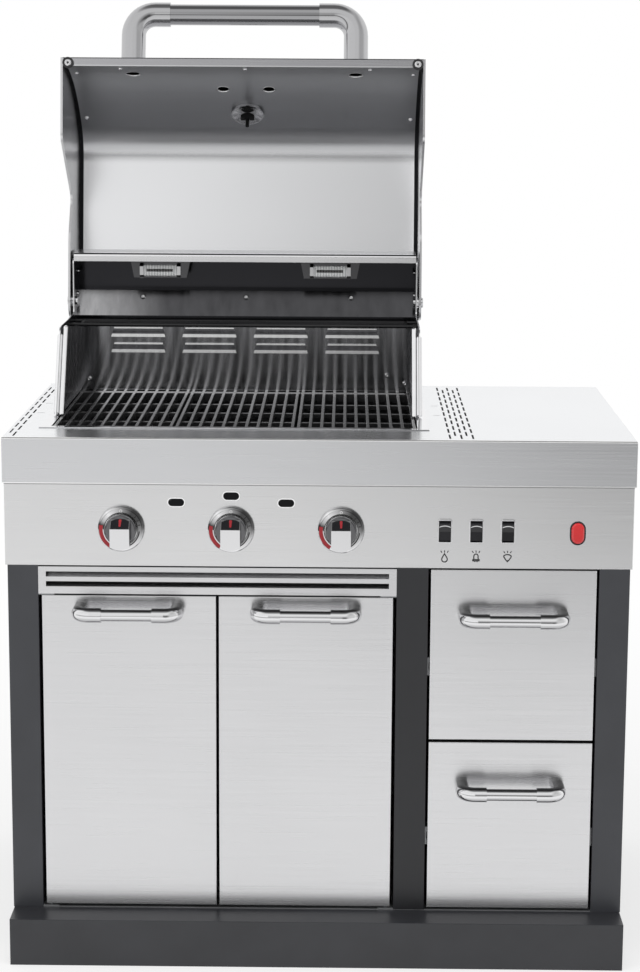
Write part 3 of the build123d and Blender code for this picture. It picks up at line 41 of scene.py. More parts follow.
RIGHT, UP, OUT = Vector((1, 0, 0)), Vector((0, 0, 1)), Vector((0, -1, 0))

# The panel's knobs; an arc is its two angles in degrees and its two radii
GRILL_X = -147.95
KNOB_PITCH = 186.0
KNOB_X = (GRILL_X - KNOB_PITCH, GRILL_X, GRILL_X + KNOB_PITCH)
KNOB_Z = 756.5
BEZEL_FRONT = -8.0
BEZEL_FLAT = 35.0
BEZEL_ROUND = 4.5
RED_ARC = (168, 238, 31.0, 37.6)
BLACK_ARC = (-68, -6, 30.0, 32.2)
BLACK_RING = (28.1, 29.2)
TICK_ANGLES, TICK_SWEEP, TICK_RADII = (12, 26, 40), 3, (30.0, 34.0)
OFF_MARK_RISE, OFF_MARK_RADIUS = 31.6, 2.0
GRIP_FRONT, GRIP_SHOULDER = -36.5, -17.5
GRIP_TOP, GRIP_HIGH = 5.5, 20.0
INSET_HALF = 15.3

# The panel's switches, windows and lamp
PANEL_FRONT = 1.0
SWITCH_X = (213.45, 266.75, 320.05)
SWITCH_Z = 756.0
SIGN_Z, SIGN_THICK = 711.7, 0.12
ROCKER_PIVOT = 8.0
ROCKER_TILT = math.radians(10.0)
ROCKER_FACE, ROCKER_FLARE = -7.0, 4.0 / 18.0
LINE_HALF, LINE_TOP, LINE_SAG, LINE_WIDTH, LINE_THICK = 9.4, 12.4, 2.6, 1.5, 0.2
LENS_PITCH = 93.0
LENSES = ((GRILL_X - LENS_PITCH, 802.0), (GRILL_X + LENS_PITCH, 802.0), (GRILL_X, 813.5))
LENS_RIM = (28.6, 14.6)
PILOT = (437.95, 754.0)
PILOT_RIM = (38.6, 24.6)

# The worktop and the grill
WORKTOP = 912.0
APRON_FOOT = 833.0
FLANGE_TOP = 913.5
REAR_WALL = 545.0
HOOD_LIPS = (1019.7, 989.9)
WALL_BOW = (900.0, 1040.0)
WALL_INNER = 322.5
WALL_SCREWS = ((122.5, 948.5), (-446.0, 938.0), (156.5, 933.0))
WALL_BOLTS = ((575.0, 1098.0), (590.0, 1140.0))
UPSTAND_FRONT = 528.0
HOUSING_BACK, HOUSING_TOP = 619.2, 1178.2
HOUSING_SCREW_X = (-424.0, -148.0, 123.0)
HOUSING_SCREW_Y, HOUSING_SCREW_Z = 560.0, 1177.5
BAFFLE_FOOT_Y, BAFFLE_FOOT_Z = 560.0, 1058.0
BAFFLE_RUN, BAFFLE_RISE = 24.0, 46.0
BAFFLE_SCREW_X, BAFFLE_SCREW_RISE = (-344.8, -147.8, 52.8), 34.0
# Where the painted light on the baffle starts, and where it is full towards the left
BAFFLE_PAINTED_LIGHT_END = (-300.0, -440.0)
GLASS_LENGTH = 76.0
CLIP_REACH, CLIP_WIDTH = 5.6, 7.0

# The lid, given shut, and how far it stands open at rest
PIVOT_Y = 548.0
PIVOT_Z = 1087.0
LID_FRONT = 114.5
LID_BOTTOM = 921.0
LID_RADIUS = 467.87
LID_OPEN = math.radians(-99.0)
LINER_DEPTH = 15.5
LINER_BEND = (1338.0, 1368.0)
THERMO_RISE, DIAL_PROUD, DIAL_RADIUS = 230.0, 13.0, 29.0
NUT_DEPTH = 20.0
SCALE_START, SCALE_SWEEP, SCALE_TICKS = -45, 270, 12
SCALE_EDGE, SCALE_LINE = 26.5, 27.2
NEEDLE_TURN = 128
LID_HANDLE_RISE, LID_HANDLE_SPAN, LID_HANDLE_BAR = 66.0, 412.0, 138.0
ACCESS_RISE, ACCESS_PITCH = 143.0, 86.0
RAIL_SCREW_X, RAIL_SCREW_RISE = (-374.0, -145.0, 84.0), 22.0
LINER_SCREW_X, LINER_SCREW_RISE = (GRILL_X - 310.0, GRILL_X + 312.0), (60.0, 250.0)
BUMPER_WASHER = ((6.2, 5.4), (6.2, 5.9), (4.0, 6.3), (2.2, 6.0), (2.0, 5.2))

# The camera, in metres and degrees
CAMERA_PLACE = (0.04483, -4.17477, 1.53329)
CAMERA_YAW, CAMERA_PITCH, CAMERA_ROLL = -0.64, 10.34, 0.32
CAMERA_LENS, CAMERA_SENSOR = 85.857, 36.0

# The studio's walls: brightness by height, from below the floor to overhead
LEFT_WALL = ((0.0, 0.97), (0.255, 0.93), (0.29, 0.30), (0.35, 0.30), (0.40, 1.0), (0.90, 0.9), (0.97, 0.25))
RIGHT_WALL = ((0.0, 0.97), (0.165, 0.92), (0.215, 0.16), (0.40, 0.12), (0.47, 0.38), (0.56, 0.55),
              (0.667, 0.9), (0.90, 0.9), (0.97, 0.2))
RIGHT_END = ((0.0, 0.97), (0.2, 0.8), (0.3, 0.65), (0.5, 0.7), (1.0, 0.5))
WHITE = (1, 1, 1, 1)


def V(x, y, z):
    """A place in the model's frame, in metres, from one in millimetres."""
    return Vector((x / 1000.0, (y - ORIGIN_DEPTH) / 1000.0, z / 1000.0))


def opened(y, z):
    """A direction on the shut lid, turned with the lid to where it stands open."""
    return (y * math.cos(LID_OPEN) - z * math.sin(LID_OPEN), y * math.sin(LID_OPEN) + z * math.cos(LID_OPEN))


def lid_place(rise, x, depth):
    """A place some way up the lid's front and inside its outer face, with the ways out and up there."""
    a = rise / LID_RADIUS
    out = (-math.cos(a), math.sin(a))
    up = (math.sin(a), math.cos(a))
    y = LID_FRONT + LID_RADIUS * (1 - math.cos(a)) - out[0] * depth
    z = LID_BOTTOM + LID_RADIUS * math.sin(a) - out[1] * depth
    dy, dz = opened(y - PIVOT_Y, z - PIVOT_Z)
    return V(x, PIVOT_Y + dy, PIVOT_Z + dz), Vector((0, *opened(*out))), Vector((0, *opened(*up)))


# Shader helpers

# Half the width of a mask's edge, in millimetres
EDGE = 0.2
# Vector operations whose result is a number
SCALAR_RESULTS = ("DOT_PRODUCT", "DISTANCE", "LENGTH")
# Sockets of a Mix node: its two inputs and its output
MIX_COLOURS = (6, 7, 2)
MIX_VALUES = (2, 3, 0)
# Depth of the scratches in brushed metal, in metres
BRUSH_DEPTH = 0.0002


def new_material(name):
    mat = bpy.data.materials.new(name)
    mat.use_nodes = True
    tree = mat.node_tree
    tree.nodes.clear()
    out = tree.nodes.new("ShaderNodeOutputMaterial")
    shader = tree.nodes.new("ShaderNodeBsdfPrincipled")
    tree.links.new(shader.outputs["BSDF"], out.inputs["Surface"])
    return mat, tree, shader


def feed(tree, socket, value):
    """Link an output to a socket, or set the socket to a plain value."""
    if isinstance(value, bpy.types.NodeSocket):
        tree.links.new(value, socket)
    else:
        socket.default_value = value


def compute(tree, operation, *values):
    """The result of a math node."""
    node = tree.nodes.new("ShaderNodeMath")
    node.operation = operation
    for socket, value in zip(node.inputs, values):
        feed(tree, socket, value)
    return node.outputs["Value"]


def vector_math(tree, operation, *values):
    """The result of a vector math node."""
    node = tree.nodes.new("ShaderNodeVectorMath")
    node.operation = operation
    for socket, value in zip(node.inputs, values):
        feed(tree, socket, value)
    return node.outputs["Value" if operation in SCALAR_RESULTS else "Vector"]


def texture_place(tree, kind="Object"):
    """A point's place in the piece's own coordinates, or its normal there."""
    return tree.nodes.new("ShaderNodeTexCoord").outputs[kind]


def axes(tree, kind="Object"):
    """A point's place in the piece's own coordinates, as outputs X, Y and Z."""
    split = tree.nodes.new("ShaderNodeSeparateXYZ")
    tree.links.new(texture_place(tree, kind), split.inputs["Vector"])
    return split.outputs


def pattern(tree, scale, detail=3.0, rough=0.55):
    """Noise in the piece's own coordinates, stretched by a scale along each axis."""
    mapping = tree.nodes.new("ShaderNodeMapping")
    mapping.inputs["Scale"].default_value = scale
    noise = tree.nodes.new("ShaderNodeTexNoise")
    noise.inputs["Scale"].default_value = 1.0
    noise.inputs["Detail"].default_value = detail
    noise.inputs["Roughness"].default_value = rough
    tree.links.new(texture_place(tree), mapping.inputs["Vector"])
    tree.links.new(mapping.outputs["Vector"], noise.inputs["Vector"])
    return noise.outputs["Fac"]


def ramp(tree, fac, stops):
    node = tree.nodes.new("ShaderNodeValToRGB")
    line = node.color_ramp
    while len(line.elements) < len(stops):
        line.elements.new(0.5)
    for element, (place, colour) in zip(line.elements, stops):
        element.position = place
        element.color = (colour[0], colour[1], colour[2], 1.0)
    tree.links.new(fac, node.inputs["Fac"])
    return node.outputs["Color"]


def grey_ramp(tree, fac, stops):
    return ramp(tree, fac, [(place, (c, c, c)) for place, c in stops])


def spread(tree, fac, low, high, start=0.3, end=0.7):
    """Low where a value is at its start, high where it is at its end, and even steps between."""
    node = tree.nodes.new("ShaderNodeMapRange")
    node.inputs["From Min"].default_value = start
    node.inputs["From Max"].default_value = end
    node.inputs["To Min"].default_value = low
    node.inputs["To Max"].default_value = high
    tree.links.new(fac, node.inputs["Value"])
    return node.outputs["Result"]


def bump(tree, shader, height, strength, distance, normal=None):
    node = tree.nodes.new("ShaderNodeBump")
    node.inputs["Strength"].default_value = strength
    node.inputs["Distance"].default_value = distance
    tree.links.new(height, node.inputs["Height"])
    if normal:
        tree.links.new(normal, node.inputs["Normal"])
    tree.links.new(node.outputs["Normal"], shader.inputs["Normal"])


def rolled(tree, rolls):
    """The surface's normal, which leans up or down where a mask is 1, as it does along a rolled edge."""
    normal = tree.nodes.new("ShaderNodeNewGeometry").outputs["Normal"]
    for mask, lean in rolls:
        push = vector_math(tree, "MULTIPLY", mask(tree), (0.0, 0.0, lean))
        normal = vector_math(tree, "ADD", normal, push)
    return vector_math(tree, "NORMALIZE", normal)


def shade(colour, k):
    return tuple(min(1.0, c * k) for c in colour)


def around(colour, contrast):
    """A darker and a paler tone on either side of a colour."""
    return shade(colour, 1 - contrast), shade(colour, 1 + contrast)


def blend(tree, fac, first, second, kind="MIX"):
    """Mix two colours."""
    node = tree.nodes.new("ShaderNodeMix")
    node.data_type = "RGBA"
    node.blend_type = kind
    a, b, result = MIX_COLOURS
    feed(tree, node.inputs[0], fac)
    tree.links.new(first, node.inputs[a])
    tree.links.new(second, node.inputs[b])
    return node.outputs[result]


def blend_values(tree, fac, first, second):
    """Mix two plain values."""
    node = tree.nodes.new("ShaderNodeMix")
    a, b, result = MIX_VALUES
    tree.links.new(fac, node.inputs[0])
    tree.links.new(first, node.inputs[a])
    tree.links.new(second, node.inputs[b])
    return node.outputs[result]


def join(tree, operation, masks):
    result = masks[0]
    for mask in masks[1:]:
        result = compute(tree, operation, result, mask)
    return result


def all_of(tree, *masks):
    return join(tree, "MULTIPLY", masks)


def any_of(tree, *masks):
    return join(tree, "MAXIMUM", masks)


def fade(tree, axis, start, end):
    """0 up to one place along an axis and 1 past another, in millimetres."""
    first, last = (getattr(V(place, place, place), axis) for place in (start, end))
    return spread(tree, axes(tree)[axis.upper()], 0.0, 1.0, first, last)


def inside(tree, **limits):
    """1 inside a box and 0 outside it: limits such as y=(530, 619), in millimetres, either of them None."""
    steps = []
    for axis, (low, high) in limits.items():
        if low is not None:
            steps.append(fade(tree, axis, low - EDGE, low + EDGE))
        if high is not None:
            steps.append(fade(tree, axis, high + EDGE, high - EDGE))
    return all_of(tree, *steps)


def facing(tree, way, start=0.7, end=0.9):
    """1 where the surface's own normal leans towards a direction and 0 where it leans away."""
    lean = vector_math(tree, "DOT_PRODUCT", texture_place(tree, "Normal"), way)
    return spread(tree, lean, 0.0, 1.0, start, end)


def near(tree, centre, start, end):
    """1 close to a point and 0 away from it, in millimetres."""
    distance = vector_math(tree, "DISTANCE", texture_place(tree), centre)
    return spread(tree, distance, 1.0, 0.0, start / 1000, end / 1000)


def brushed(name, colour, rough, contrast, scale, aniso=0.5, axis="X", blotch=0.03, grit=0.05, marks=(),
            rolls=(), vary=0.15):
    """Metal brushed along one axis: streaks in tone and gloss, reflections drawn out across the streaks.

    Each mark is a function that gives a mask, and the colour and roughness that the metal has there.
    Each roll is such a function too, with how far the surface leans up there.
    """
    mat, tree, shader = new_material(name)
    streak = pattern(tree, scale)
    cloud = pattern(tree, (3.0, 3.0, 3.0), 2.0)

    def streaked(base):
        return ramp(tree, streak, list(zip((0.25, 0.75), around(base, contrast))))

    def glossed(base):
        return spread(tree, streak, base * (1 - vary), base * (1 + vary))

    tone, gloss = streaked(colour), glossed(rough)
    for mask, other, other_rough in marks:
        where = mask(tree)
        tone = blend(tree, where, tone, streaked(other))
        gloss = blend_values(tree, where, gloss, glossed(other_rough))
    broad = grey_ramp(tree, cloud, [(0.3, 1 - blotch), (0.7, 1.0)])
    tree.links.new(blend(tree, 1.0, tone, broad, "MULTIPLY"), shader.inputs["Base Color"])
    tree.links.new(gloss, shader.inputs["Roughness"])
    shader.inputs["Metallic"].default_value = 1.0
    shader.inputs["Anisotropic"].default_value = aniso
    tangent = tree.nodes.new("ShaderNodeTangent")
    tangent.direction_type = "RADIAL"
    tangent.axis = axis
    tree.links.new(tangent.outputs["Tangent"], shader.inputs["Tangent"])
    bump(tree, shader, streak, grit, BRUSH_DEPTH, rolled(tree, rolls) if rolls else None)
    return mat


def polished(name, colour, rough, contrast=0.05):
    """Smooth metal with faint wear."""
    mat, tree, shader = new_material(name)
    cloud = pattern(tree, (40.0, 40.0, 40.0), 4.0)
    tone = ramp(tree, cloud, list(zip((0.3, 0.7), around(colour, contrast))))
    tree.links.new(tone, shader.inputs["Base Color"])
    tree.links.new(spread(tree, cloud, rough * 0.8, rough * 1.25), shader.inputs["Roughness"])
    shader.inputs["Metallic"].default_value = 1.0
    return mat


def coated(name, colour, rough, grain, depth, contrast=0.15, coat=0.0, metallic=0.0, specular=0.5):
    """Paint, enamel, plastic, rubber or zinc with a fine skin."""
    mat, tree, shader = new_material(name)
    skin = pattern(tree, (grain, grain, grain))
    cloud = pattern(tree, (9.0, 9.0, 9.0))
    tone = ramp(tree, cloud, list(zip((0.3, 0.7), around(colour, contrast))))
    tree.links.new(tone, shader.inputs["Base Color"])
    tree.links.new(spread(tree, cloud, rough * 0.9, rough * 1.15), shader.inputs["Roughness"])
    shader.inputs["Metallic"].default_value = metallic
    shader.inputs["Specular IOR Level"].default_value = specular
    shader.inputs["Coat Weight"].default_value = coat
    shader.inputs["Coat Roughness"].default_value = 0.08
    bump(tree, shader, skin, 0.25, depth)
    return mat


# Masks, which say where a piece has another tone

def lid_inside_painted_shade(tree):
    """The lid's inner faces, which look forward and down while it stands open, in painted shade near black.
    """
    return facing(tree, (0.0, -0.7, -0.7), 0.2, 0.4)


def wing_nut(tree):
    """The nut on the thermometer's stem, inside the lid."""
    centre = lid_place(THERMO_RISE, GRILL_X, LINER_DEPTH + NUT_DEPTH)[0]
    return near(tree, centre, 17.0, 18.5)


def liner_brow_painted_shade(tree):
    """The liner's curved front, which hangs over the fire while the lid is open, darkened by painted shade.
    """
    return facing(tree, -UP, 0.05, 0.72)


def liner_bend_painted_shade(tree):
    """The top of the liner's flat back, under the bend, in a lighter painted shade."""
    return fade(tree, "z", *LINER_BEND)


def hood_edges_painted_highlight(tree):
    """The hoods' lips, and the fold where each hood leaves the wall, with a painted highlight."""
    lips = [inside(tree, y=(None, REAR_WALL - 1.0), z=(lip - 1.0, lip + 5.6)) for lip in HOOD_LIPS]
    return any_of(tree, inside(tree, y=(REAR_WALL - 1.7, REAR_WALL - 0.5)), *lips)


# Painted shade on the hoods' faces, darker than the wall
def hood_body_painted_shade(tree):
    return inside(tree, y=(None, REAR_WALL - 0.5))


def wall_bow(tree):
    """The rear wall's sheet, between the hoods, bows a little towards its top."""
    return all_of(tree, fade(tree, "z", *WALL_BOW), inside(tree, y=(REAR_WALL - 0.5, None)))


def side_faces(tree, way):
    """The faces that look one way on the right of the grill, and the mirrored way on its left."""
    left = all_of(tree, facing(tree, -way), inside(tree, x=(None, GRILL_X)))
    right = all_of(tree, facing(tree, way), inside(tree, x=(GRILL_X, None)))
    return any_of(tree, left, right)


# Painted light: the lid plates' inner faces are paler than the rest
def plate_inside_painted_light(tree):
    return side_faces(tree, -RIGHT)


# Painted shade on the firebox walls' outer faces
def wall_outside_painted_shade(tree):
    return side_faces(tree, RIGHT)


def wall_faces_painted_shade(tree):
    """The firebox walls' inner faces, in a darker painted shade."""
    near_side, far_side = WALL_INNER - 0.4, WALL_INNER + 0.4
    left = inside(tree, x=(GRILL_X - far_side, GRILL_X - near_side))
    return any_of(tree, left, inside(tree, x=(GRILL_X + near_side, GRILL_X + far_side)))


# Painted shade behind the rear housing's front band
def housing_back_painted_shade(tree):
    return inside(tree, y=(REAR_WALL, None))


# Painted shade, near black, inside the rear housing
def housing_inside_painted_shade(tree):
    return inside(tree, y=(UPSTAND_FRONT + 1.0, HOUSING_BACK), z=(None, HOUSING_TOP))


def baffle_end_painted_light(tree):
    """Painted light: paler towards the left end."""
    return fade(tree, "x", *BAFFLE_PAINTED_LIGHT_END)


# Painted shade inside the pan, below its flange
def pan_inside_painted_shade(tree):
    return inside(tree, z=(None, FLANGE_TOP - 1.0))


# Painted light: the worktop's upward faces are paler
def top_face_painted_light(tree):
    return facing(tree, UP)


# Painted light: the apron's front face is paler than the worktop's other faces
def apron_front_painted_light(tree):
    return facing(tree, OUT)


def apron_brow_painted_highlight(tree):
    """The rounded fold between the worktop and its apron, with a painted highlight."""
    return inside(tree, y=(None, 3.0), z=(WORKTOP - 3.2, None))


# Painted highlight along the apron's lower hem
def apron_hem_painted_highlight(tree):
    return inside(tree, y=(None, 3.0), z=(None, APRON_FOOT + 1.8))


def panel_painted_shadow(tree):
    """Painted shadow under the apron's hem, a darker strip along the panel's top."""
    return inside(tree, z=(APRON_FOOT - 1.6, None))


def handle_bar(tree):
    """The lid handle between its elbows."""
    return inside(tree, x=(GRILL_X - LID_HANDLE_BAR, GRILL_X + LID_HANDLE_BAR))


def handle_top_painted_shade(tree):
    """Painted shade on the upper back of a handle, which faces the dim space above the doors."""
    return facing(tree, (0.0, 0.17, 0.985), 0.60, 0.74)


# Painted shade on a handle's underside
def handle_foot_painted_shade(tree):
    return facing(tree, -UP, 0.15, 0.45)


# Painted highlight along the front rail's lower edge
def rail_foot_painted_highlight(tree):
    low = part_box("lid_front_rail")[0].z * 1000
    return inside(tree, z=(None, low + 2.4))


# Painted shade in a band at the knob's shoulder
def knob_base_painted_shade(tree):
    return inside(tree, y=(GRIP_SHOULDER - 0.6, GRIP_SHOULDER + 1.4))


# Painted shade on the knobs' sides
def knob_sides_painted_shade(tree):
    return any_of(tree, facing(tree, RIGHT, 0.6, 0.8), facing(tree, -RIGHT, 0.6, 0.8))


# Materials with a build of their own

def grate_material():
    """Enamelled cast iron: a fine orange-peel skin, and painted highlights, in pale metal, along the rounded
    top edges.
    """
    mat, tree, shader = new_material("enamelled_iron")
    skin = pattern(tree, (900.0, 900.0, 900.0))
    cloud = pattern(tree, (9.0, 9.0, 9.0))
    tone = ramp(tree, cloud, [(0.3, (0.018, 0.018, 0.019)), (0.7, (0.032, 0.032, 0.033))])
    painted_edge_highlight = ramp(tree, cloud, [(0.3, (0.74, 0.74, 0.75)), (0.7, (0.92, 0.92, 0.93))])
    tree.links.new(spread(tree, cloud, 0.20, 0.30), shader.inputs["Roughness"])
    shader.inputs["Coat Weight"].default_value = 0.6
    shader.inputs["Coat Roughness"].default_value = 0.12
    round_edge = tree.nodes.new("ShaderNodeBevel")
    round_edge.samples = 4
    round_edge.inputs["Radius"].default_value = 0.0014
    soft = round_edge.outputs["Normal"]
    flat = tree.nodes.new("ShaderNodeNewGeometry").outputs["Normal"]
    bend = spread(tree, vector_math(tree, "DOT_PRODUCT", flat, soft), 1.0, 0.0, 0.86, 0.97)
    # Painted highlight: pale metal where the rounded top edges face up
    edge = all_of(tree, bend, facing(tree, UP, 0.5, 0.8), inside(tree, z=(FLANGE_TOP - 3.0, None)))
    tree.links.new(blend(tree, edge, tone, painted_edge_highlight), shader.inputs["Base Color"])
    tree.links.new(edge, shader.inputs["Metallic"])
    bump(tree, shader, skin, 0.2, 0.00012, soft)
    tree.links.new(soft, shader.inputs["Coat Normal"])
    return mat


def bezel_material():
    """Polished dish with a painted reflection of the room in wedges: pale at the left and below, dark at the
    upper right.
    """
    mat, tree, shader = new_material("bezel_chrome")
    place = axes(tree)
    half = KNOB_PITCH / 2000
    across = compute(tree, "WRAP", compute(tree, "SUBTRACT", place["X"], GRILL_X / 1000), half, -half)
    rise = compute(tree, "SUBTRACT", place["Z"], KNOB_Z / 1000)
    angle = compute(tree, "ARCTAN2", rise, across)
    turn = spread(tree, angle, 0.0, 1.0, -math.pi, math.pi)
    painted_reflection_wedges = [(0.0, 0.62), (0.28, 0.85), (0.42, 0.62), (0.50, 0.24), (0.58, 0.08), (0.66, 0.07), (0.72, 0.25),
              (0.78, 0.52), (0.86, 0.88), (0.93, 0.50), (0.965, 0.06), (1.0, 0.10)]
    tone = ramp(tree, turn, [(stop, (c, c, c * 1.01)) for stop, c in painted_reflection_wedges])
    cloud = pattern(tree, (60.0, 60.0, 60.0))
    tree.links.new(tone, shader.inputs["Base Color"])
    tree.links.new(spread(tree, cloud, 0.10, 0.18), shader.inputs["Roughness"])
    shader.inputs["Metallic"].default_value = 1.0
    return mat


def glass_starts():
    """Where each lamp glass begins, from left to right."""
    low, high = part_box("lamp_lenses")
    return low.x * 1000, high.x * 1000 - GLASS_LENGTH


def glass_material():
    """Ribbed lamp glass with a dark slit of painted shade along each glass."""
    mat, tree, shader = new_material("ribbed_glass")
    wave = tree.nodes.new("ShaderNodeTexWave")
    wave.bands_direction = "X"
    wave.inputs["Scale"].default_value = 60.0
    wave.inputs["Distortion"].default_value = 0.8
    tree.links.new(texture_place(tree), wave.inputs["Vector"])
    ribs = wave.outputs["Fac"]
    low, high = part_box("lamp_lenses")
    middle = (low.z + high.z) * 500
    # Painted shade: a dark slit along the middle of each glass
    slits = [inside(tree, x=(x + 12.0, x + 62.0), z=(middle - 2.0, middle + 3.4)) for x in glass_starts()]
    pale = ramp(tree, ribs, [(0.2, (0.62, 0.63, 0.64)), (0.8, (0.92, 0.93, 0.93))])
    dim = grey_ramp(tree, ribs, [(0.2, 0.02), (0.8, 0.12)])
    tree.links.new(blend(tree, any_of(tree, *slits), pale, dim), shader.inputs["Base Color"])
    shader.inputs["Transmission Weight"].default_value = 0.25
    shader.inputs["Roughness"].default_value = 0.12
    shader.inputs["IOR"].default_value = 1.48
    bump(tree, shader, ribs, 0.6, 0.001)
    return mat


def switch_material():
    """Black switch body whose rim, which stands proud of the panel, is plated."""
    mat, tree, shader = new_material("switch_body")
    proud = fade(tree, "y", PANEL_FRONT, PANEL_FRONT - 0.2)
    tone = ramp(tree, proud, [(0.4, (0.012, 0.012, 0.013)), (0.6, (0.74, 0.74, 0.75))])
    tree.links.new(tone, shader.inputs["Base Color"])
    tree.links.new(proud, shader.inputs["Metallic"])
    shader.inputs["Roughness"].default_value = 0.18
    return mat


# Materials

# How closely the streaks of brushed metal stand along each axis, per metre
ALONG = (6.0, 700.0, 700.0)
ALONG_BAND = (6.0, 600.0, 600.0)
ALONG_LINER = (5.0, 500.0, 500.0)
ALONG_BAR = (30.0, 900.0, 900.0)
ALONG_KNOB = (30.0, 600.0, 600.0)
UPRIGHT_WALL = (75.0, 40.0, 3.0)
UPRIGHT_FIRE = (60.0, 40.0, 4.0)
UPRIGHT_RIM = (90.0, 90.0, 6.0)
CLOUDY = (60.0, 60.0, 60.0)
# Colour of the painted highlights along rolled edges
PAINTED_HIGHLIGHT = (0.98, 0.98, 0.98)

stainless = brushed("stainless_brushed", (0.73, 0.73, 0.74), 0.24, 0.007, ALONG, grit=0.008)
# The control panel, with a painted shadow along its top under the apron
panel_steel = brushed("panel_brushed", (0.79, 0.79, 0.795), 0.24, 0.007, ALONG, grit=0.008,
                      marks=[(panel_painted_shadow, (0.34, 0.34, 0.345), 0.3)])
# The lid plates, with painted light on their inner faces
plate_steel = brushed("plate_brushed", (0.68, 0.68, 0.69), 0.24, 0.012, ALONG, grit=0.008,
                      marks=[(plate_inside_painted_light, (0.92, 0.92, 0.93), 0.24)])
# The worktop: its top and apron front paler as painted light, its folded brow and hem with painted highlights
top_steel = brushed("worktop_brushed", (0.66, 0.665, 0.68), 0.22, 0.008, ALONG, grit=0.01,
                    marks=[(top_face_painted_light, (0.89, 0.90, 0.915), 0.22), (apron_front_painted_light, (0.745, 0.75, 0.765), 0.24),
                           (apron_brow_painted_highlight, PAINTED_HIGHLIGHT, 0.2), (apron_hem_painted_highlight, PAINTED_HIGHLIGHT, 0.2)],
                    rolls=[(apron_brow_painted_highlight, 0.45), (apron_hem_painted_highlight, 0.28)])
# The lid's skin, with painted shade, near black, on its inner faces
skin_steel = brushed("lid_brushed", (0.70, 0.70, 0.715), 0.25, 0.018, ALONG,
                     marks=[(lid_inside_painted_shade, (0.03, 0.03, 0.033), 0.5)])
# The lid's front rail, with a painted highlight along its lower edge
rail_steel = brushed("rail_brushed", (0.48, 0.48, 0.495), 0.24, 0.05, ALONG,
                     marks=[(rail_foot_painted_highlight, (0.92, 0.92, 0.92), 0.2)])
# The lid's liner, darkened by painted shade on its curved front and, less, under the bend
liner_steel = brushed("liner_satin", (0.95, 0.955, 0.97), 0.22, 0.004, ALONG_LINER, aniso=0.0,
                      blotch=0.02, grit=0.001, vary=0.02,
                      marks=[(liner_bend_painted_shade, (0.64, 0.643, 0.655), 0.28),
                             (liner_brow_painted_shade, (0.325, 0.328, 0.34), 0.34)])
# The rear wall, its hoods in painted shade and their lips and folds with painted highlights
wall_steel = brushed("rear_wall_steel", (0.63, 0.63, 0.65), 0.12, 0.30, UPRIGHT_WALL, aniso=0.75,
                     blotch=0.15, grit=0.02,
                     marks=[(hood_body_painted_shade, (0.16, 0.16, 0.17), 0.16), (hood_edges_painted_highlight, PAINTED_HIGHLIGHT, 0.16)],
                     rolls=[(wall_bow, -0.11), (hood_edges_painted_highlight, -0.40)])
# The firebox's dark steel, with painted light towards the baffle's left end
fire_steel = brushed("firebox_steel", (0.088, 0.088, 0.093), 0.2, 0.20, UPRIGHT_FIRE, aniso=0.6,
                     blotch=0.2, grit=0.03, marks=[(baffle_end_painted_light, (0.44, 0.44, 0.45), 0.2)])
# The firebox pan: a polished flange, with painted shade inside
pan_steel = brushed("pan_steel", (0.80, 0.80, 0.815), 0.06, 0.05, ALONG,
                    marks=[(pan_inside_painted_shade, (0.10, 0.10, 0.105), 0.3)])
# The rear housing: a pale front band, with painted shade behind it and darker painted shade inside
band_steel = brushed("band_steel", (0.92, 0.92, 0.93), 0.20, 0.01, ALONG_BAND,
                     marks=[(housing_back_painted_shade, (0.60, 0.60, 0.61), 0.24),
                            (housing_inside_painted_shade, (0.04, 0.04, 0.044), 0.15)])
# The firebox walls, with painted shade on their outer faces and, darker, on their inner faces
rim_steel = brushed("rim_steel", (0.93, 0.93, 0.94), 0.14, 0.03, UPRIGHT_RIM, aniso=0.2, axis="Z",
                    marks=[(wall_outside_painted_shade, (0.60, 0.60, 0.61), 0.25), (wall_faces_painted_shade, (0.17, 0.17, 0.18), 0.25)])
satin = brushed("satin_steel", (0.51, 0.51, 0.52), 0.07, 0.02, ALONG_BAR, aniso=0.0, grit=0.01,
                marks=[(handle_bar, (0.37, 0.37, 0.38), 0.05)])
# The door and drawer handles, with painted shade on their upper backs and undersides
door_bar = brushed("door_bar_steel", (0.80, 0.80, 0.81), 0.10, 0.02, ALONG_BAR, aniso=0.0, grit=0.01,
                   marks=[(handle_top_painted_shade, (0.04, 0.04, 0.042), 0.12), (handle_foot_painted_shade, (0.52, 0.52, 0.53), 0.12)])
# The knobs, with painted shade at the shoulder and on the sides
knob_steel = brushed("knob_steel", (0.80, 0.80, 0.81), 0.16, 0.02, ALONG_KNOB, aniso=0.2,
                     marks=[(knob_base_painted_shade, (0.15, 0.15, 0.155), 0.12), (knob_sides_painted_shade, (0.14, 0.14, 0.145), 0.2)])
dish_steel = brushed("dish_steel", (0.52, 0.52, 0.53), 0.16, 0.03, CLOUDY, aniso=0.0, grit=0.01,
                     marks=[(wing_nut, (0.02, 0.02, 0.02), 0.4)])
chrome = polished("chrome", (0.74, 0.74, 0.75), 0.07)
dark_chrome = polished("dark_chrome", (0.12, 0.12, 0.125), 0.14)
pale_metal = polished("pale_metal", (0.95, 0.95, 0.95), 0.30, 0.02)
brass = polished("brass", (0.60, 0.45, 0.20), 0.28, 0.12)
aluminium = polished("aluminium", (0.62, 0.62, 0.64), 0.34, 0.08)
sheet = coated("galvanised_sheet", (0.42, 0.43, 0.44), 0.42, 300.0, 0.0001, 0.07, metallic=0.85)
dark_paint = coated("dark_paint", (0.040, 0.042, 0.048), 0.36, 1400.0, 0.00006, 0.12)
plinth_paint = coated("plinth_paint", (0.030, 0.031, 0.035), 0.38, 1400.0, 0.00006, 0.15)
shaded_paint = coated("shaded_paint", (0.016, 0.0165, 0.019), 0.40, 1400.0, 0.00006, 0.12)
black_wire = coated("black_wire", (0.010, 0.010, 0.011), 0.28, 900.0, 0.00005, 0.3)
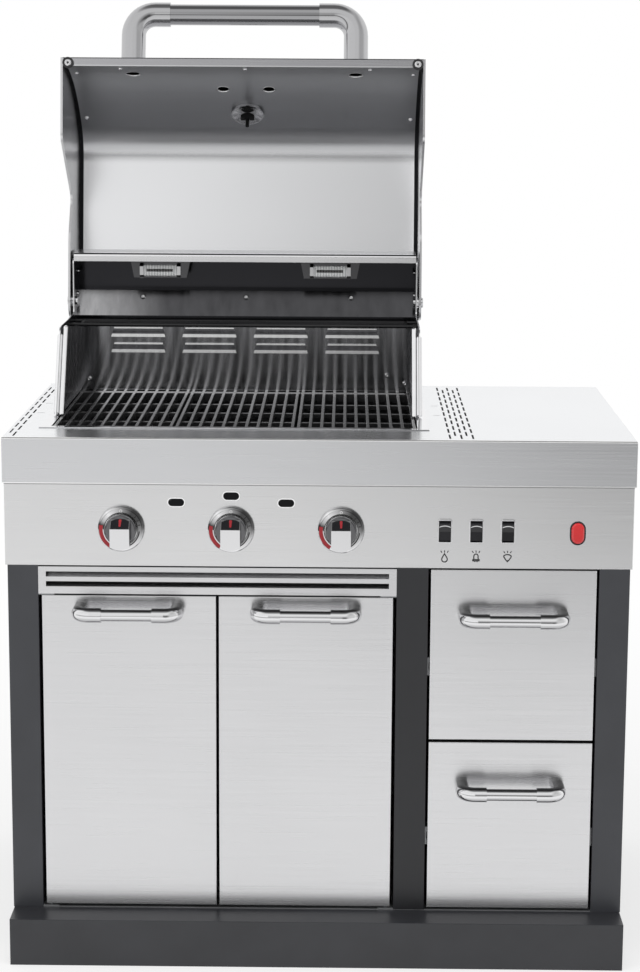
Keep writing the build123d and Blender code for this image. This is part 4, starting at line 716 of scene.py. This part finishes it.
gloss_black = coated("gloss_black", (0.010, 0.010, 0.012), 0.16, 1200.0, 0.00003, 0.25)
matt_black = coated("matt_black", (0.004, 0.004, 0.005), 0.35, 1200.0, 0.00003, 0.25, specular=0.15)
red_lens = coated("red_lens", (0.62, 0.012, 0.015), 0.12, 500.0, 0.00005, 0.2, coat=0.8)
red_print = coated("red_print", (0.36, 0.012, 0.020), 0.40, 900.0, 0.00002, 0.12)
black_print = coated("black_print", (0.012, 0.012, 0.012), 0.45, 900.0, 0.00002, 0.2)
white_print = coated("pale_print", (0.75, 0.75, 0.75), 0.45, 900.0, 0.00002, 0.08)
white_plastic = coated("white_plastic", (0.94, 0.94, 0.94), 0.30, 900.0, 0.00002, 0.03)
rubber = coated("rubber", (0.016, 0.016, 0.017), 0.60, 700.0, 0.0002, 0.3)
cast_iron = grate_material()
bezel_chrome = bezel_material()
lamp_glass = glass_material()
switch_body = switch_material()

LOOKS = {
    stainless: ("louvre_panel", "left_door", "right_door", "upper_drawer_front", "lower_drawer_front"),
    panel_steel: ("control_panel",),
    plate_steel: ("lid_left_plate", "lid_right_plate"),
    top_steel: ("worktop",),
    skin_steel: ("lid_skin",),
    rail_steel: ("lid_front_rail",),
    liner_steel: ("lid_liner",),
    band_steel: ("rear_housing",),
    rim_steel: ("firebox_left_wall", "firebox_right_wall"),
    wall_steel: ("rear_louvre_wall",),
    pan_steel: ("firebox_pan",),
    fire_steel: ("rear_baffle", "burners", "heat_tents"),
    sheet: ("base_floor", "back_panel", "divider_panel", "grease_tray", "drawer_rails", "door_hinges",
            "upper_drawer_box", "lower_drawer_box"),
    dark_paint: ("corner_posts", "left_side_panel", "right_side_panel"),
    plinth_paint: ("plinth",),
    shaded_paint: ("middle_post",),
    satin: ("lid_handle",),
    door_bar: ("left_door_handle", "right_door_handle", "upper_drawer_handle", "lower_drawer_handle"),
    knob_steel: ("knob_left", "knob_middle", "knob_right"),
    bezel_chrome: ("knob_bezels",),
    chrome: ("lid_pivot_bolts",),
    dish_steel: ("lid_thermometer",),
    dark_chrome: ("lamp_housings",),
    cast_iron: ("cooking_grates",),
    black_wire: ("warming_rack",),
    brass: ("gas_valves", "valve_stem_left", "valve_stem_middle", "valve_stem_right"),
    aluminium: ("gas_manifold",),
    lamp_glass: ("lamp_lenses",),
    gloss_black: ("rocker_left", "rocker_middle", "rocker_right"),
    matt_black: ("indicator_lenses",),
    switch_body: ("switch_housings",),
    red_lens: ("pilot_lamp",),
    rubber: ("lid_bumpers",),
}
for look, names in LOOKS.items():
    for name in names:
        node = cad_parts[name]
        node.data.materials.clear()
        node.data.materials.append(look)


# Mesh helpers; sizes are in millimetres, and a part is its corners and its faces

def piece(name, parts, look, body, smooth=False):
    """One object from several (corners, faces) parts, riding on a body."""
    corners, faces = [], []
    for part_corners, part_faces in parts:
        base = len(corners)
        corners += part_corners
        faces += [tuple(i + base for i in face) for face in part_faces]
    mesh = bpy.data.meshes.new(name)
    mesh.from_pydata([tuple(c) for c in corners], [], faces)
    mesh.update()
    if smooth:
        for polygon in mesh.polygons:
            polygon.use_smooth = True
    mesh.materials.append(look)
    obj = bpy.data.objects.new(name, mesh)
    bpy.context.scene.collection.objects.link(obj)
    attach(obj, body)
    return obj


def rings(profile, origin, normal, steps):
    """Circles about a normal, one for each (radius, height) pair."""
    n = Vector(normal).normalized()
    side = RIGHT if abs(n.x) < 0.8 else UP
    u = (side - n * side.dot(n)).normalized()
    v = n.cross(u)
    corners = []
    for r, h in profile:
        for i in range(steps):
            a = 2 * math.pi * i / steps
            corners.append(origin + (u * math.cos(a) + v * math.sin(a)) * (r / 1000) + n * (h / 1000))
    return corners


def lathe(profile, origin, normal, steps=20):
    """A turned shape: (radius, height) pairs from its foot to its middle."""
    faces = []
    for k in range(len(profile) - 1):
        for i in range(steps):
            j = (i + 1) % steps
            faces.append((k * steps + i, k * steps + j, (k + 1) * steps + j, (k + 1) * steps + i))
    last = (len(profile) - 1) * steps
    faces.append(tuple(last + i for i in range(steps)))
    faces.append(tuple(reversed(range(steps))))
    return rings(profile, origin, normal, steps), faces


def tube(outer, inner, low, high, origin, normal, steps=28):
    """A ring with a wall, between two heights."""
    profile = ((outer, low), (outer, high), (inner, high), (inner, low))
    faces = []
    for k in range(4):
        for i in range(steps):
            j = (i + 1) % steps
            m = (k + 1) % 4
            faces.append((k * steps + i, m * steps + i, m * steps + j, k * steps + j))
    return rings(profile, origin, normal, steps), faces


def pan_head(origin, normal, r=5.0, h=3.0):
    """A screw head with a washer and a driver recess."""
    profile = [(r * 1.25, 0), (r * 1.25, 0.7), (r, 0.7), (r, h * 0.5), (r * 0.75, h * 0.9), (r * 0.4, h),
               (r * 0.3, h * 0.55), (r * 0.05, h * 0.5)]
    return lathe(profile, origin, normal, 18)


def ribbon(points, width, origin, u, v, n, thick, closed=False):
    """A flat stroke along points in a plane, with mitred joints."""
    count = len(points)
    left, right = [], []
    for i in range(count):
        before = points[i - 1] if i > 0 or closed else points[i]
        after = points[(i + 1) % count] if i < count - 1 or closed else points[i]
        d0 = Vector((points[i][0] - before[0], points[i][1] - before[1]))
        d1 = Vector((after[0] - points[i][0], after[1] - points[i][1]))
        if d0.length < 1e-9:
            d0 = d1
        if d1.length < 1e-9:
            d1 = d0
        d0.normalize()
        d1.normalize()
        n0, n1 = Vector((-d0.y, d0.x)), Vector((-d1.y, d1.x))
        m = n0 + n1
        m = m.normalized() if m.length > 1e-6 else n0
        k = min(width, width / 2 / max(0.35, m.dot(n0)))
        left.append((points[i][0] + m.x * k, points[i][1] + m.y * k))
        right.append((points[i][0] - m.x * k, points[i][1] - m.y * k))
    corners = []
    for h in (0.0, thick):
        for p in left + right:
            corners.append(origin + (u * p[0] + v * p[1] + n * h) / 1000)
    faces = []
    top = 2 * count
    for i in range(count if closed else count - 1):
        j = (i + 1) % count
        faces.append((top + i, top + j, top + count + j, top + count + i))
        faces.append((i, count + i, count + j, j))
        faces.append((i, j, top + j, top + i))
        faces.append((count + j, count + i, top + count + i, top + count + j))
    if not closed:
        faces.append((0, top, top + count, count))
        e = count - 1
        faces.append((e, count + e, top + count + e, top + e))
    return corners, faces


def arc(cx, cy, r, a0, a1, steps):
    angles = [math.radians(a0 + (a1 - a0) * i / steps) for i in range(steps + 1)]
    return [(cx + r * math.cos(a), cy + r * math.sin(a)) for a in angles]


def plate(points, origin, u, v, n, thick):
    """A flat plate with a given outline."""
    count = len(points)
    corners = [origin + (u * x + v * y + n * h) / 1000 for h in (0.0, thick) for x, y in points]
    faces = [tuple(range(count, 2 * count)), tuple(reversed(range(count)))]
    for i in range(count):
        j = (i + 1) % count
        faces.append((i, j, count + j, count + i))
    return corners, faces


def stroke(points, width, x, z, thick, closed=False, y=PANEL_FRONT):
    """A flat stroke on the panel about a place."""
    return ribbon(points, width, V(x, y, z), RIGHT, UP, OUT, thick, closed)


# Marks on the knob bezels, following their rounded edge

def bezel_height(r):
    if r <= BEZEL_FLAT:
        return BEZEL_FRONT
    return BEZEL_FRONT + BEZEL_ROUND - math.sqrt(BEZEL_ROUND ** 2 - (r - BEZEL_FLAT) ** 2)


def bezel_band(x, a0, a1, r0, r1, sink=0.1, lift=0.15):
    """A printed band between two angles and two radii."""
    steps, across = 22, 5
    corners, faces = [], []
    for layer in (-sink, lift):
        for i in range(steps + 1):
            a = math.radians(a0 + (a1 - a0) * i / steps)
            for k in range(across + 1):
                r = r0 + (r1 - r0) * k / across
                corners.append(V(x + r * math.cos(a), bezel_height(r) - layer, KNOB_Z + r * math.sin(a)))
    row, block = across + 1, (steps + 1) * (across + 1)
    for i in range(steps):
        for k in range(across):
            a, b, c, d = i * row + k, i * row + k + 1, (i + 1) * row + k + 1, (i + 1) * row + k
            faces.append((block + a, block + b, block + c, block + d))
            faces.append((d, c, b, a))
        for k in (0, across):
            a, d = i * row + k, (i + 1) * row + k
            faces.append((a, d, block + d, block + a) if k == 0 else (d, a, block + a, block + d))
    for i in (0, steps):
        for k in range(across):
            a, b = i * row + k, i * row + k + 1
            faces.append((b, a, block + a, block + b) if i == 0 else (a, b, block + b, block + a))
    return corners, faces


black_bands = [bezel_band(x, *BLACK_ARC) for x in KNOB_X]
black_bands += [bezel_band(x, a, a + 120, *BLACK_RING) for x in KNOB_X for a in (0, 120, 240)]
black_bands += [bezel_band(x, a, a + TICK_SWEEP, *TICK_RADII) for x in KNOB_X for a in TICK_ANGLES]
off_circle = arc(0, OFF_MARK_RISE, OFF_MARK_RADIUS, 0, 345, 23)
off_marks = [stroke(off_circle, 0.8, x, KNOB_Z, 0.15, True, BEZEL_FRONT) for x in KNOB_X]
piece("bezel_red_arcs", [bezel_band(x, *RED_ARC) for x in KNOB_X], red_print, "cabinet", True)
piece("bezel_black_arcs", black_bands, black_print, "cabinet")
piece("bezel_off_marks", off_marks, white_print, "cabinet")


# Knob inset and pointer, on the slope above the grip

for name, x in zip(("left", "middle", "right"), KNOB_X):
    foot = V(x, GRIP_FRONT, KNOB_Z + GRIP_TOP)
    slope = V(x, GRIP_SHOULDER, KNOB_Z + GRIP_HIGH) - foot
    length = slope.length * 1000
    v = slope.normalized()
    n = RIGHT.cross(v)
    inset = [(-INSET_HALF, 0.8), (INSET_HALF, 0.8), (INSET_HALF, length - 5.5), (9.0, length - 1.6),
             (0.0, length - 0.5), (-9.0, length - 1.6), (-INSET_HALF, length - 5.5)]
    pointer = [(-1.6, 6.0), (1.6, 6.0), (2.4, length - 2.5), (0.0, length - 1.3), (-2.4, length - 2.5)]
    knob = "knob_" + name
    piece("knob_inset_" + name, [plate(inset, foot, RIGHT, v, n, 0.25)], gloss_black, knob)
    piece("knob_pointer_" + name, [plate(pointer, foot, RIGHT, v, n, 0.5)], red_print, knob)


# Lines across the rockers

def rocker_line(x):
    """A curved line near the top of a tipped rocker's face."""
    corners, faces = [], []
    rows = 12
    for layer in (0.0, LINE_THICK):
        for edge in (0.0, LINE_WIDTH):
            for i in range(rows + 1):
                s = LINE_HALF * (2 * i / rows - 1)
                z = LINE_TOP - LINE_SAG * (s / LINE_HALF) ** 2 - edge
                y = ROCKER_FACE - ROCKER_FLARE * z - layer
                ty = y * math.cos(ROCKER_TILT) - z * math.sin(ROCKER_TILT)
                tz = y * math.sin(ROCKER_TILT) + z * math.cos(ROCKER_TILT)
                corners.append(V(x + s, ROCKER_PIVOT + ty, SWITCH_Z + tz))
    row = rows + 1
    for i in range(rows):
        faces.append((2 * row + i, 3 * row + i, 3 * row + i + 1, 2 * row + i + 1))
        faces.append((i, i + 1, row + i + 1, row + i))
        faces.append((i + 1, i, 2 * row + i, 2 * row + i + 1))
        faces.append((row + i, row + i + 1, 3 * row + i + 1, 3 * row + i))
    faces.append((0, row, 3 * row, 2 * row))
    faces.append((row - 1, 3 * row - 1, 4 * row - 1, 2 * row - 1))
    return corners, faces


for name, x in zip(("left", "middle", "right"), SWITCH_X):
    piece("rocker_line_" + name, [rocker_line(x)], chrome, "rocker_" + name)


# Rims round the indicator windows and the pilot lamp

def obround(length, height, upright=False, steps=12):
    reach, r = (length - height) / 2, height / 2
    line = arc(reach, 0, r, -90, 90, steps) + arc(-reach, 0, r, 90, 270, steps)
    return [(-y, x) for x, y in line] if upright else line


lens_rims = [stroke(obround(*LENS_RIM), 1.4, x, z, 0.8, True) for x, z in LENSES]
piece("indicator_rims", lens_rims, white_plastic, "cabinet")
pilot_rim = stroke(obround(*PILOT_RIM, True), 2.2, *PILOT, 1.6, True)
piece("pilot_rim", [pilot_rim], gloss_black, "cabinet")


# Plain pictograms under the switches

def sign(x, strokes):
    """Three rays over a few strokes, each given with whether it closes."""
    rays = [[(-6.5, 10.5), (-4.6, 7.2)], [(0.0, 11.2), (0.0, 7.4)], [(6.5, 10.5), (4.6, 7.2)]]
    parts = [stroke(ray, 1.6, x, SIGN_Z, SIGN_THICK) for ray in rays]
    return parts + [stroke(line, 2.0, x, SIGN_Z, SIGN_THICK, closed) for line, closed in strokes]


drop = [(0.0, 5.2), (2.2, 1.6), (4.4, -2.4)] + arc(0, -4.4, 4.7, 20, -200, 12) + [(-4.4, -2.4), (-2.2, 1.6)]
diode = [(-3.6, -3.6), (-3.6, 1.5)] + arc(0, 1.5, 3.6, 180, 0, 10) + [(3.6, -3.6)]
diode_foot = [(-5.4, -4.4), (5.4, -4.4), (5.4, -6.6), (-5.4, -6.6)]
diode_legs = [[(x, -7.2), (x, -8.8)] for x in (-2.0, 2.0)]
bulb = [(-3.0, 4.4), (3.0, 4.4), (6.2, 2.4), (6.2, 0.4), (1.8, -6.0), (-1.8, -6.0), (-6.2, 0.4), (-6.2, 2.4)]
bulb_tip = [(-1.2, -7.6), (1.2, -7.6)]
signs = sign(SWITCH_X[0], [(drop, True)])
signs += sign(SWITCH_X[1], [(diode, False), (diode_foot, True)] + [(leg, False) for leg in diode_legs])
signs += sign(SWITCH_X[2], [(bulb, True), (bulb_tip, False)])
piece("switch_signs", signs, black_print, "cabinet")


# Screws and bolts of the grill

lean = math.atan2(BAFFLE_RUN, BAFFLE_RISE)
tilted = Vector((0, -math.cos(lean), math.sin(lean)))
baffle_y = BAFFLE_FOOT_Y + BAFFLE_RUN * BAFFLE_SCREW_RISE / BAFFLE_RISE
baffle_z = BAFFLE_FOOT_Z + BAFFLE_SCREW_RISE
screws = [pan_head(V(x, baffle_y, baffle_z), tilted, 4.2, 4.0) for x in BAFFLE_SCREW_X]
screws += [pan_head(V(x, REAR_WALL, z), OUT, 4.2, 3.0) for x, z in WALL_SCREWS]
screws += [pan_head(V(x, HOUSING_SCREW_Y, HOUSING_SCREW_Z), -UP, 5.4, 9.0) for x in HOUSING_SCREW_X]
piece("firebox_screws", screws, chrome, "cabinet", True)
bolts = [pan_head(V(GRILL_X + side * WALL_INNER, y, z), RIGHT * -side, 4.5, 4.0)
         for side in (-1, 1) for y, z in WALL_BOLTS]
piece("wall_bolts", bolts, chrome, "cabinet", True)


# Lid fittings

def liner_screw(rise, x, r):
    place, out, up = lid_place(rise, x, LINER_DEPTH)
    return pan_head(place, -out, r, 3.0)


lid_screws = [liner_screw(RAIL_SCREW_RISE, x, 3.6) for x in RAIL_SCREW_X]
lid_screws += [liner_screw(rise, x, 3.4) for x in LINER_SCREW_X for rise in LINER_SCREW_RISE]
piece("lid_screws", lid_screws, chrome, "lid", True)

washers = []
low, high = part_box("lid_bumpers")
for x in (low.x + 0.010, high.x - 0.010):
    place, out, up = lid_place(0.0, x * 1000, 10.0)
    washers.append(lathe(BUMPER_WASHER, place, -up, 20))
piece("bumper_washers", washers, chrome, "lid", True)

# Turned-in edges of the liner's holes: the handle's and the two beside the thermometer
hole_edges = []
for rise, pitch, r in ((LID_HANDLE_RISE, LID_HANDLE_SPAN, 13.6), (ACCESS_RISE, ACCESS_PITCH, 11.6)):
    for x in (GRILL_X - pitch / 2, GRILL_X + pitch / 2):
        place, out, up = lid_place(rise, x, LINER_DEPTH)
        hole_edges.append(tube(r, r - 0.6, 0.2, -3.2, place, -out))
piece("hole_edges", hole_edges, pale_metal, "lid", True)

# Thermometer dial, on the lid's outer face: a scale of 270 degrees with a tick at each twelfth
place, out, up = lid_place(THERMO_RISE, GRILL_X, -DIAL_PROUD)
dial_axes = (place, -RIGHT, up, out)
dial = plate(arc(0, 0, DIAL_RADIUS, 0, 350, 35), *dial_axes, 0.3)
piece("dial_face", [dial], white_print, "lid")
dial_marks = []
for i in range(SCALE_TICKS + 1):
    a = math.radians(SCALE_START + SCALE_SWEEP * i / SCALE_TICKS)
    tick = [(r * math.cos(a), r * math.sin(a)) for r in (21.0 if i % 3 == 0 else 23.5, SCALE_EDGE)]
    dial_marks.append(ribbon(tick, 1.2, *dial_axes, 0.45))
scale_line = arc(0, 0, SCALE_LINE, SCALE_START, SCALE_START + SCALE_SWEEP, 40)
dial_marks.append(ribbon(scale_line, 0.8, *dial_axes, 0.45))
needle = [(-1.6, -6.0), (1.6, -6.0), (0.5, 22.0), (-0.5, 22.0)]
turn = Matrix.Rotation(math.radians(NEEDLE_TURN), 2)
dial_marks.append(plate([tuple(turn @ Vector(p)) for p in needle], *dial_axes, 1.0))
dial_marks.append(lathe([(3.2, 0.3), (3.2, 1.4), (1.0, 1.9)], place, out, 16))
piece("dial_marks", dial_marks, black_print, "lid")

# Wire clips that hold the lamp glasses
low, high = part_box("lamp_lenses")
glass_y, glass_foot = low.y * 1000 + ORIGIN_DEPTH, low.z * 1000
tall = (high.z - low.z) * 1000
clip = [(0.0, -3.0), (3.0, -1.0), (CLIP_REACH, 3.0), (CLIP_REACH, tall - 3.0), (3.0, tall + 1.0),
        (0.0, tall + 3.0)]
clips = []
for start in glass_starts():
    for x in (start + 3.0, start + GLASS_LENGTH - 3.0):
        origin = V(x - CLIP_WIDTH / 2, glass_y + 4.0, glass_foot)
        clips.append(ribbon(clip, 1.2, origin, OUT, UP, RIGHT, CLIP_WIDTH))
piece("lamp_clips", clips, chrome, "cabinet")


# Floor, light and camera

def seen(tree):
    """The rays that come straight from the camera, and those that come off a mirror or through glass."""
    path = tree.nodes.new("ShaderNodeLightPath")
    mirrored = any_of(tree, path.outputs["Is Glossy Ray"], path.outputs["Is Transmission Ray"])
    return path.outputs["Is Camera Ray"], mirrored


def glow(tree, kind, colour, strength=1.0):
    """A shader that gives off light of one colour."""
    node = tree.nodes.new(kind)
    feed(tree, node.inputs["Color"], colour)
    node.inputs["Strength"].default_value = strength
    return node.outputs[0]


def mix_shaders(tree, fac, first, second):
    node = tree.nodes.new("ShaderNodeMixShader")
    for socket, value in zip(node.inputs, (fac, first, second)):
        tree.links.new(value, socket)
    return node.outputs["Shader"]


def stage_floor():
    """A pale floor that fades to plain white away from the object and keeps its shadow close by."""
    mesh = bpy.data.meshes.new("floor")
    mesh.from_pydata([(-7, -3.4, 0), (7, -3.4, 0), (7, 9, 0), (-7, 9, 0)], [], [(0, 1, 2, 3)])
    mat = bpy.data.materials.new("floor")
    mat.use_nodes = True
    tree = mat.node_tree
    tree.nodes.clear()
    out = tree.nodes.new("ShaderNodeOutputMaterial")
    matt = tree.nodes.new("ShaderNodeBsdfDiffuse")
    matt.inputs["Color"].default_value = (0.93, 0.93, 0.93, 1)
    away = spread(tree, vector_math(tree, "LENGTH", texture_place(tree)), 0.62, 1.0, 0.8, 2.6)
    show = all_of(tree, any_of(tree, *seen(tree)), away)
    white = glow(tree, "ShaderNodeEmission", WHITE)
    tree.links.new(mix_shaders(tree, show, matt.outputs["BSDF"], white), out.inputs["Surface"])
    mesh.materials.append(mat)
    floor = bpy.data.objects.new("floor", mesh)
    bpy.context.scene.collection.objects.link(floor)


def stage_world():
    """A white backdrop behind the object; in front a studio whose far wall is dimmest on the right."""
    world = bpy.data.worlds.new("studio")
    bpy.context.scene.world = world
    world.use_nodes = True
    tree = world.node_tree
    tree.nodes.clear()
    out = tree.nodes.new("ShaderNodeOutputWorld")
    way = axes(tree, "Generated")
    behind = spread(tree, way["Y"], 0.0, 1.0, -0.25, 0.15)
    backdrop = all_of(tree, behind, spread(tree, way["Z"], 1.0, 0.0, 0.6, 0.85))
    height = spread(tree, way["Z"], 0.0, 1.0, -0.5, 1.0)
    slant = compute(tree, "MULTIPLY_ADD", way["Z"], 0.25, way["X"])
    left, right, end = (grey_ramp(tree, height, stops) for stops in (LEFT_WALL, RIGHT_WALL, RIGHT_END))
    walls = blend(tree, spread(tree, slant, 0.0, 1.0, -0.06, 0.09), left, right)
    walls = blend(tree, spread(tree, way["X"], 0.0, 1.0, 0.35, 0.6), walls, end)
    studio = glow(tree, "ShaderNodeBackground", walls)
    white = glow(tree, "ShaderNodeBackground", WHITE)
    soft = glow(tree, "ShaderNodeBackground", WHITE, 0.85)
    camera, mirrored = seen(tree)
    lit = mix_shaders(tree, mirrored, soft, studio)
    show = any_of(tree, camera, all_of(tree, mirrored, backdrop))
    tree.links.new(mix_shaders(tree, show, lit, white), out.inputs["Surface"])


def stage_light(name, place, target, size, power):
    """A soft lamp that lights the object and shows in no mirror."""
    light = bpy.data.lights.new(name, "AREA")
    light.shape = "RECTANGLE"
    light.size, light.size_y = size
    light.energy = power
    obj = bpy.data.objects.new(name, light)
    obj.location = place
    way = Vector(target) - Vector(place)
    obj.rotation_mode = "QUATERNION"
    obj.rotation_quaternion = way.to_track_quat("-Z", "Y")
    obj.visible_glossy = False
    bpy.context.scene.collection.objects.link(obj)


def stage_camera():
    """The photograph's viewpoint."""
    yaw, pitch, roll = (math.radians(a) for a in (CAMERA_YAW, CAMERA_PITCH, CAMERA_ROLL))
    forward = Vector((math.sin(yaw) * math.cos(pitch), math.cos(yaw) * math.cos(pitch), -math.sin(pitch)))
    level = Vector((math.cos(yaw), -math.sin(yaw), 0))
    upright = level.cross(forward)
    right = level * math.cos(roll) + upright * math.sin(roll)
    up = upright * math.cos(roll) - level * math.sin(roll)
    data = bpy.data.cameras.new("camera")
    data.sensor_fit = "VERTICAL"
    data.sensor_height = CAMERA_SENSOR
    data.lens = CAMERA_LENS
    data.clip_end = 100
    camera = bpy.data.objects.new("camera", data)
    turn = Matrix((right, up, -forward)).transposed().to_4x4()
    camera.matrix_world = Matrix.Translation(CAMERA_PLACE) @ turn
    bpy.context.scene.collection.objects.link(camera)
    bpy.context.scene.camera = camera


stage_floor()
stage_world()
stage_light("overhead", (-0.3, -1.2, 3.4), (0, 0, 0.6), (2.6, 2.0), 26)
stage_light("front_left", (-2.6, -3.2, 2.4), (0, 0, 0.8), (1.6, 1.6), 14)
stage_camera()
bpy.context.scene.view_settings.view_transform = "Standard"
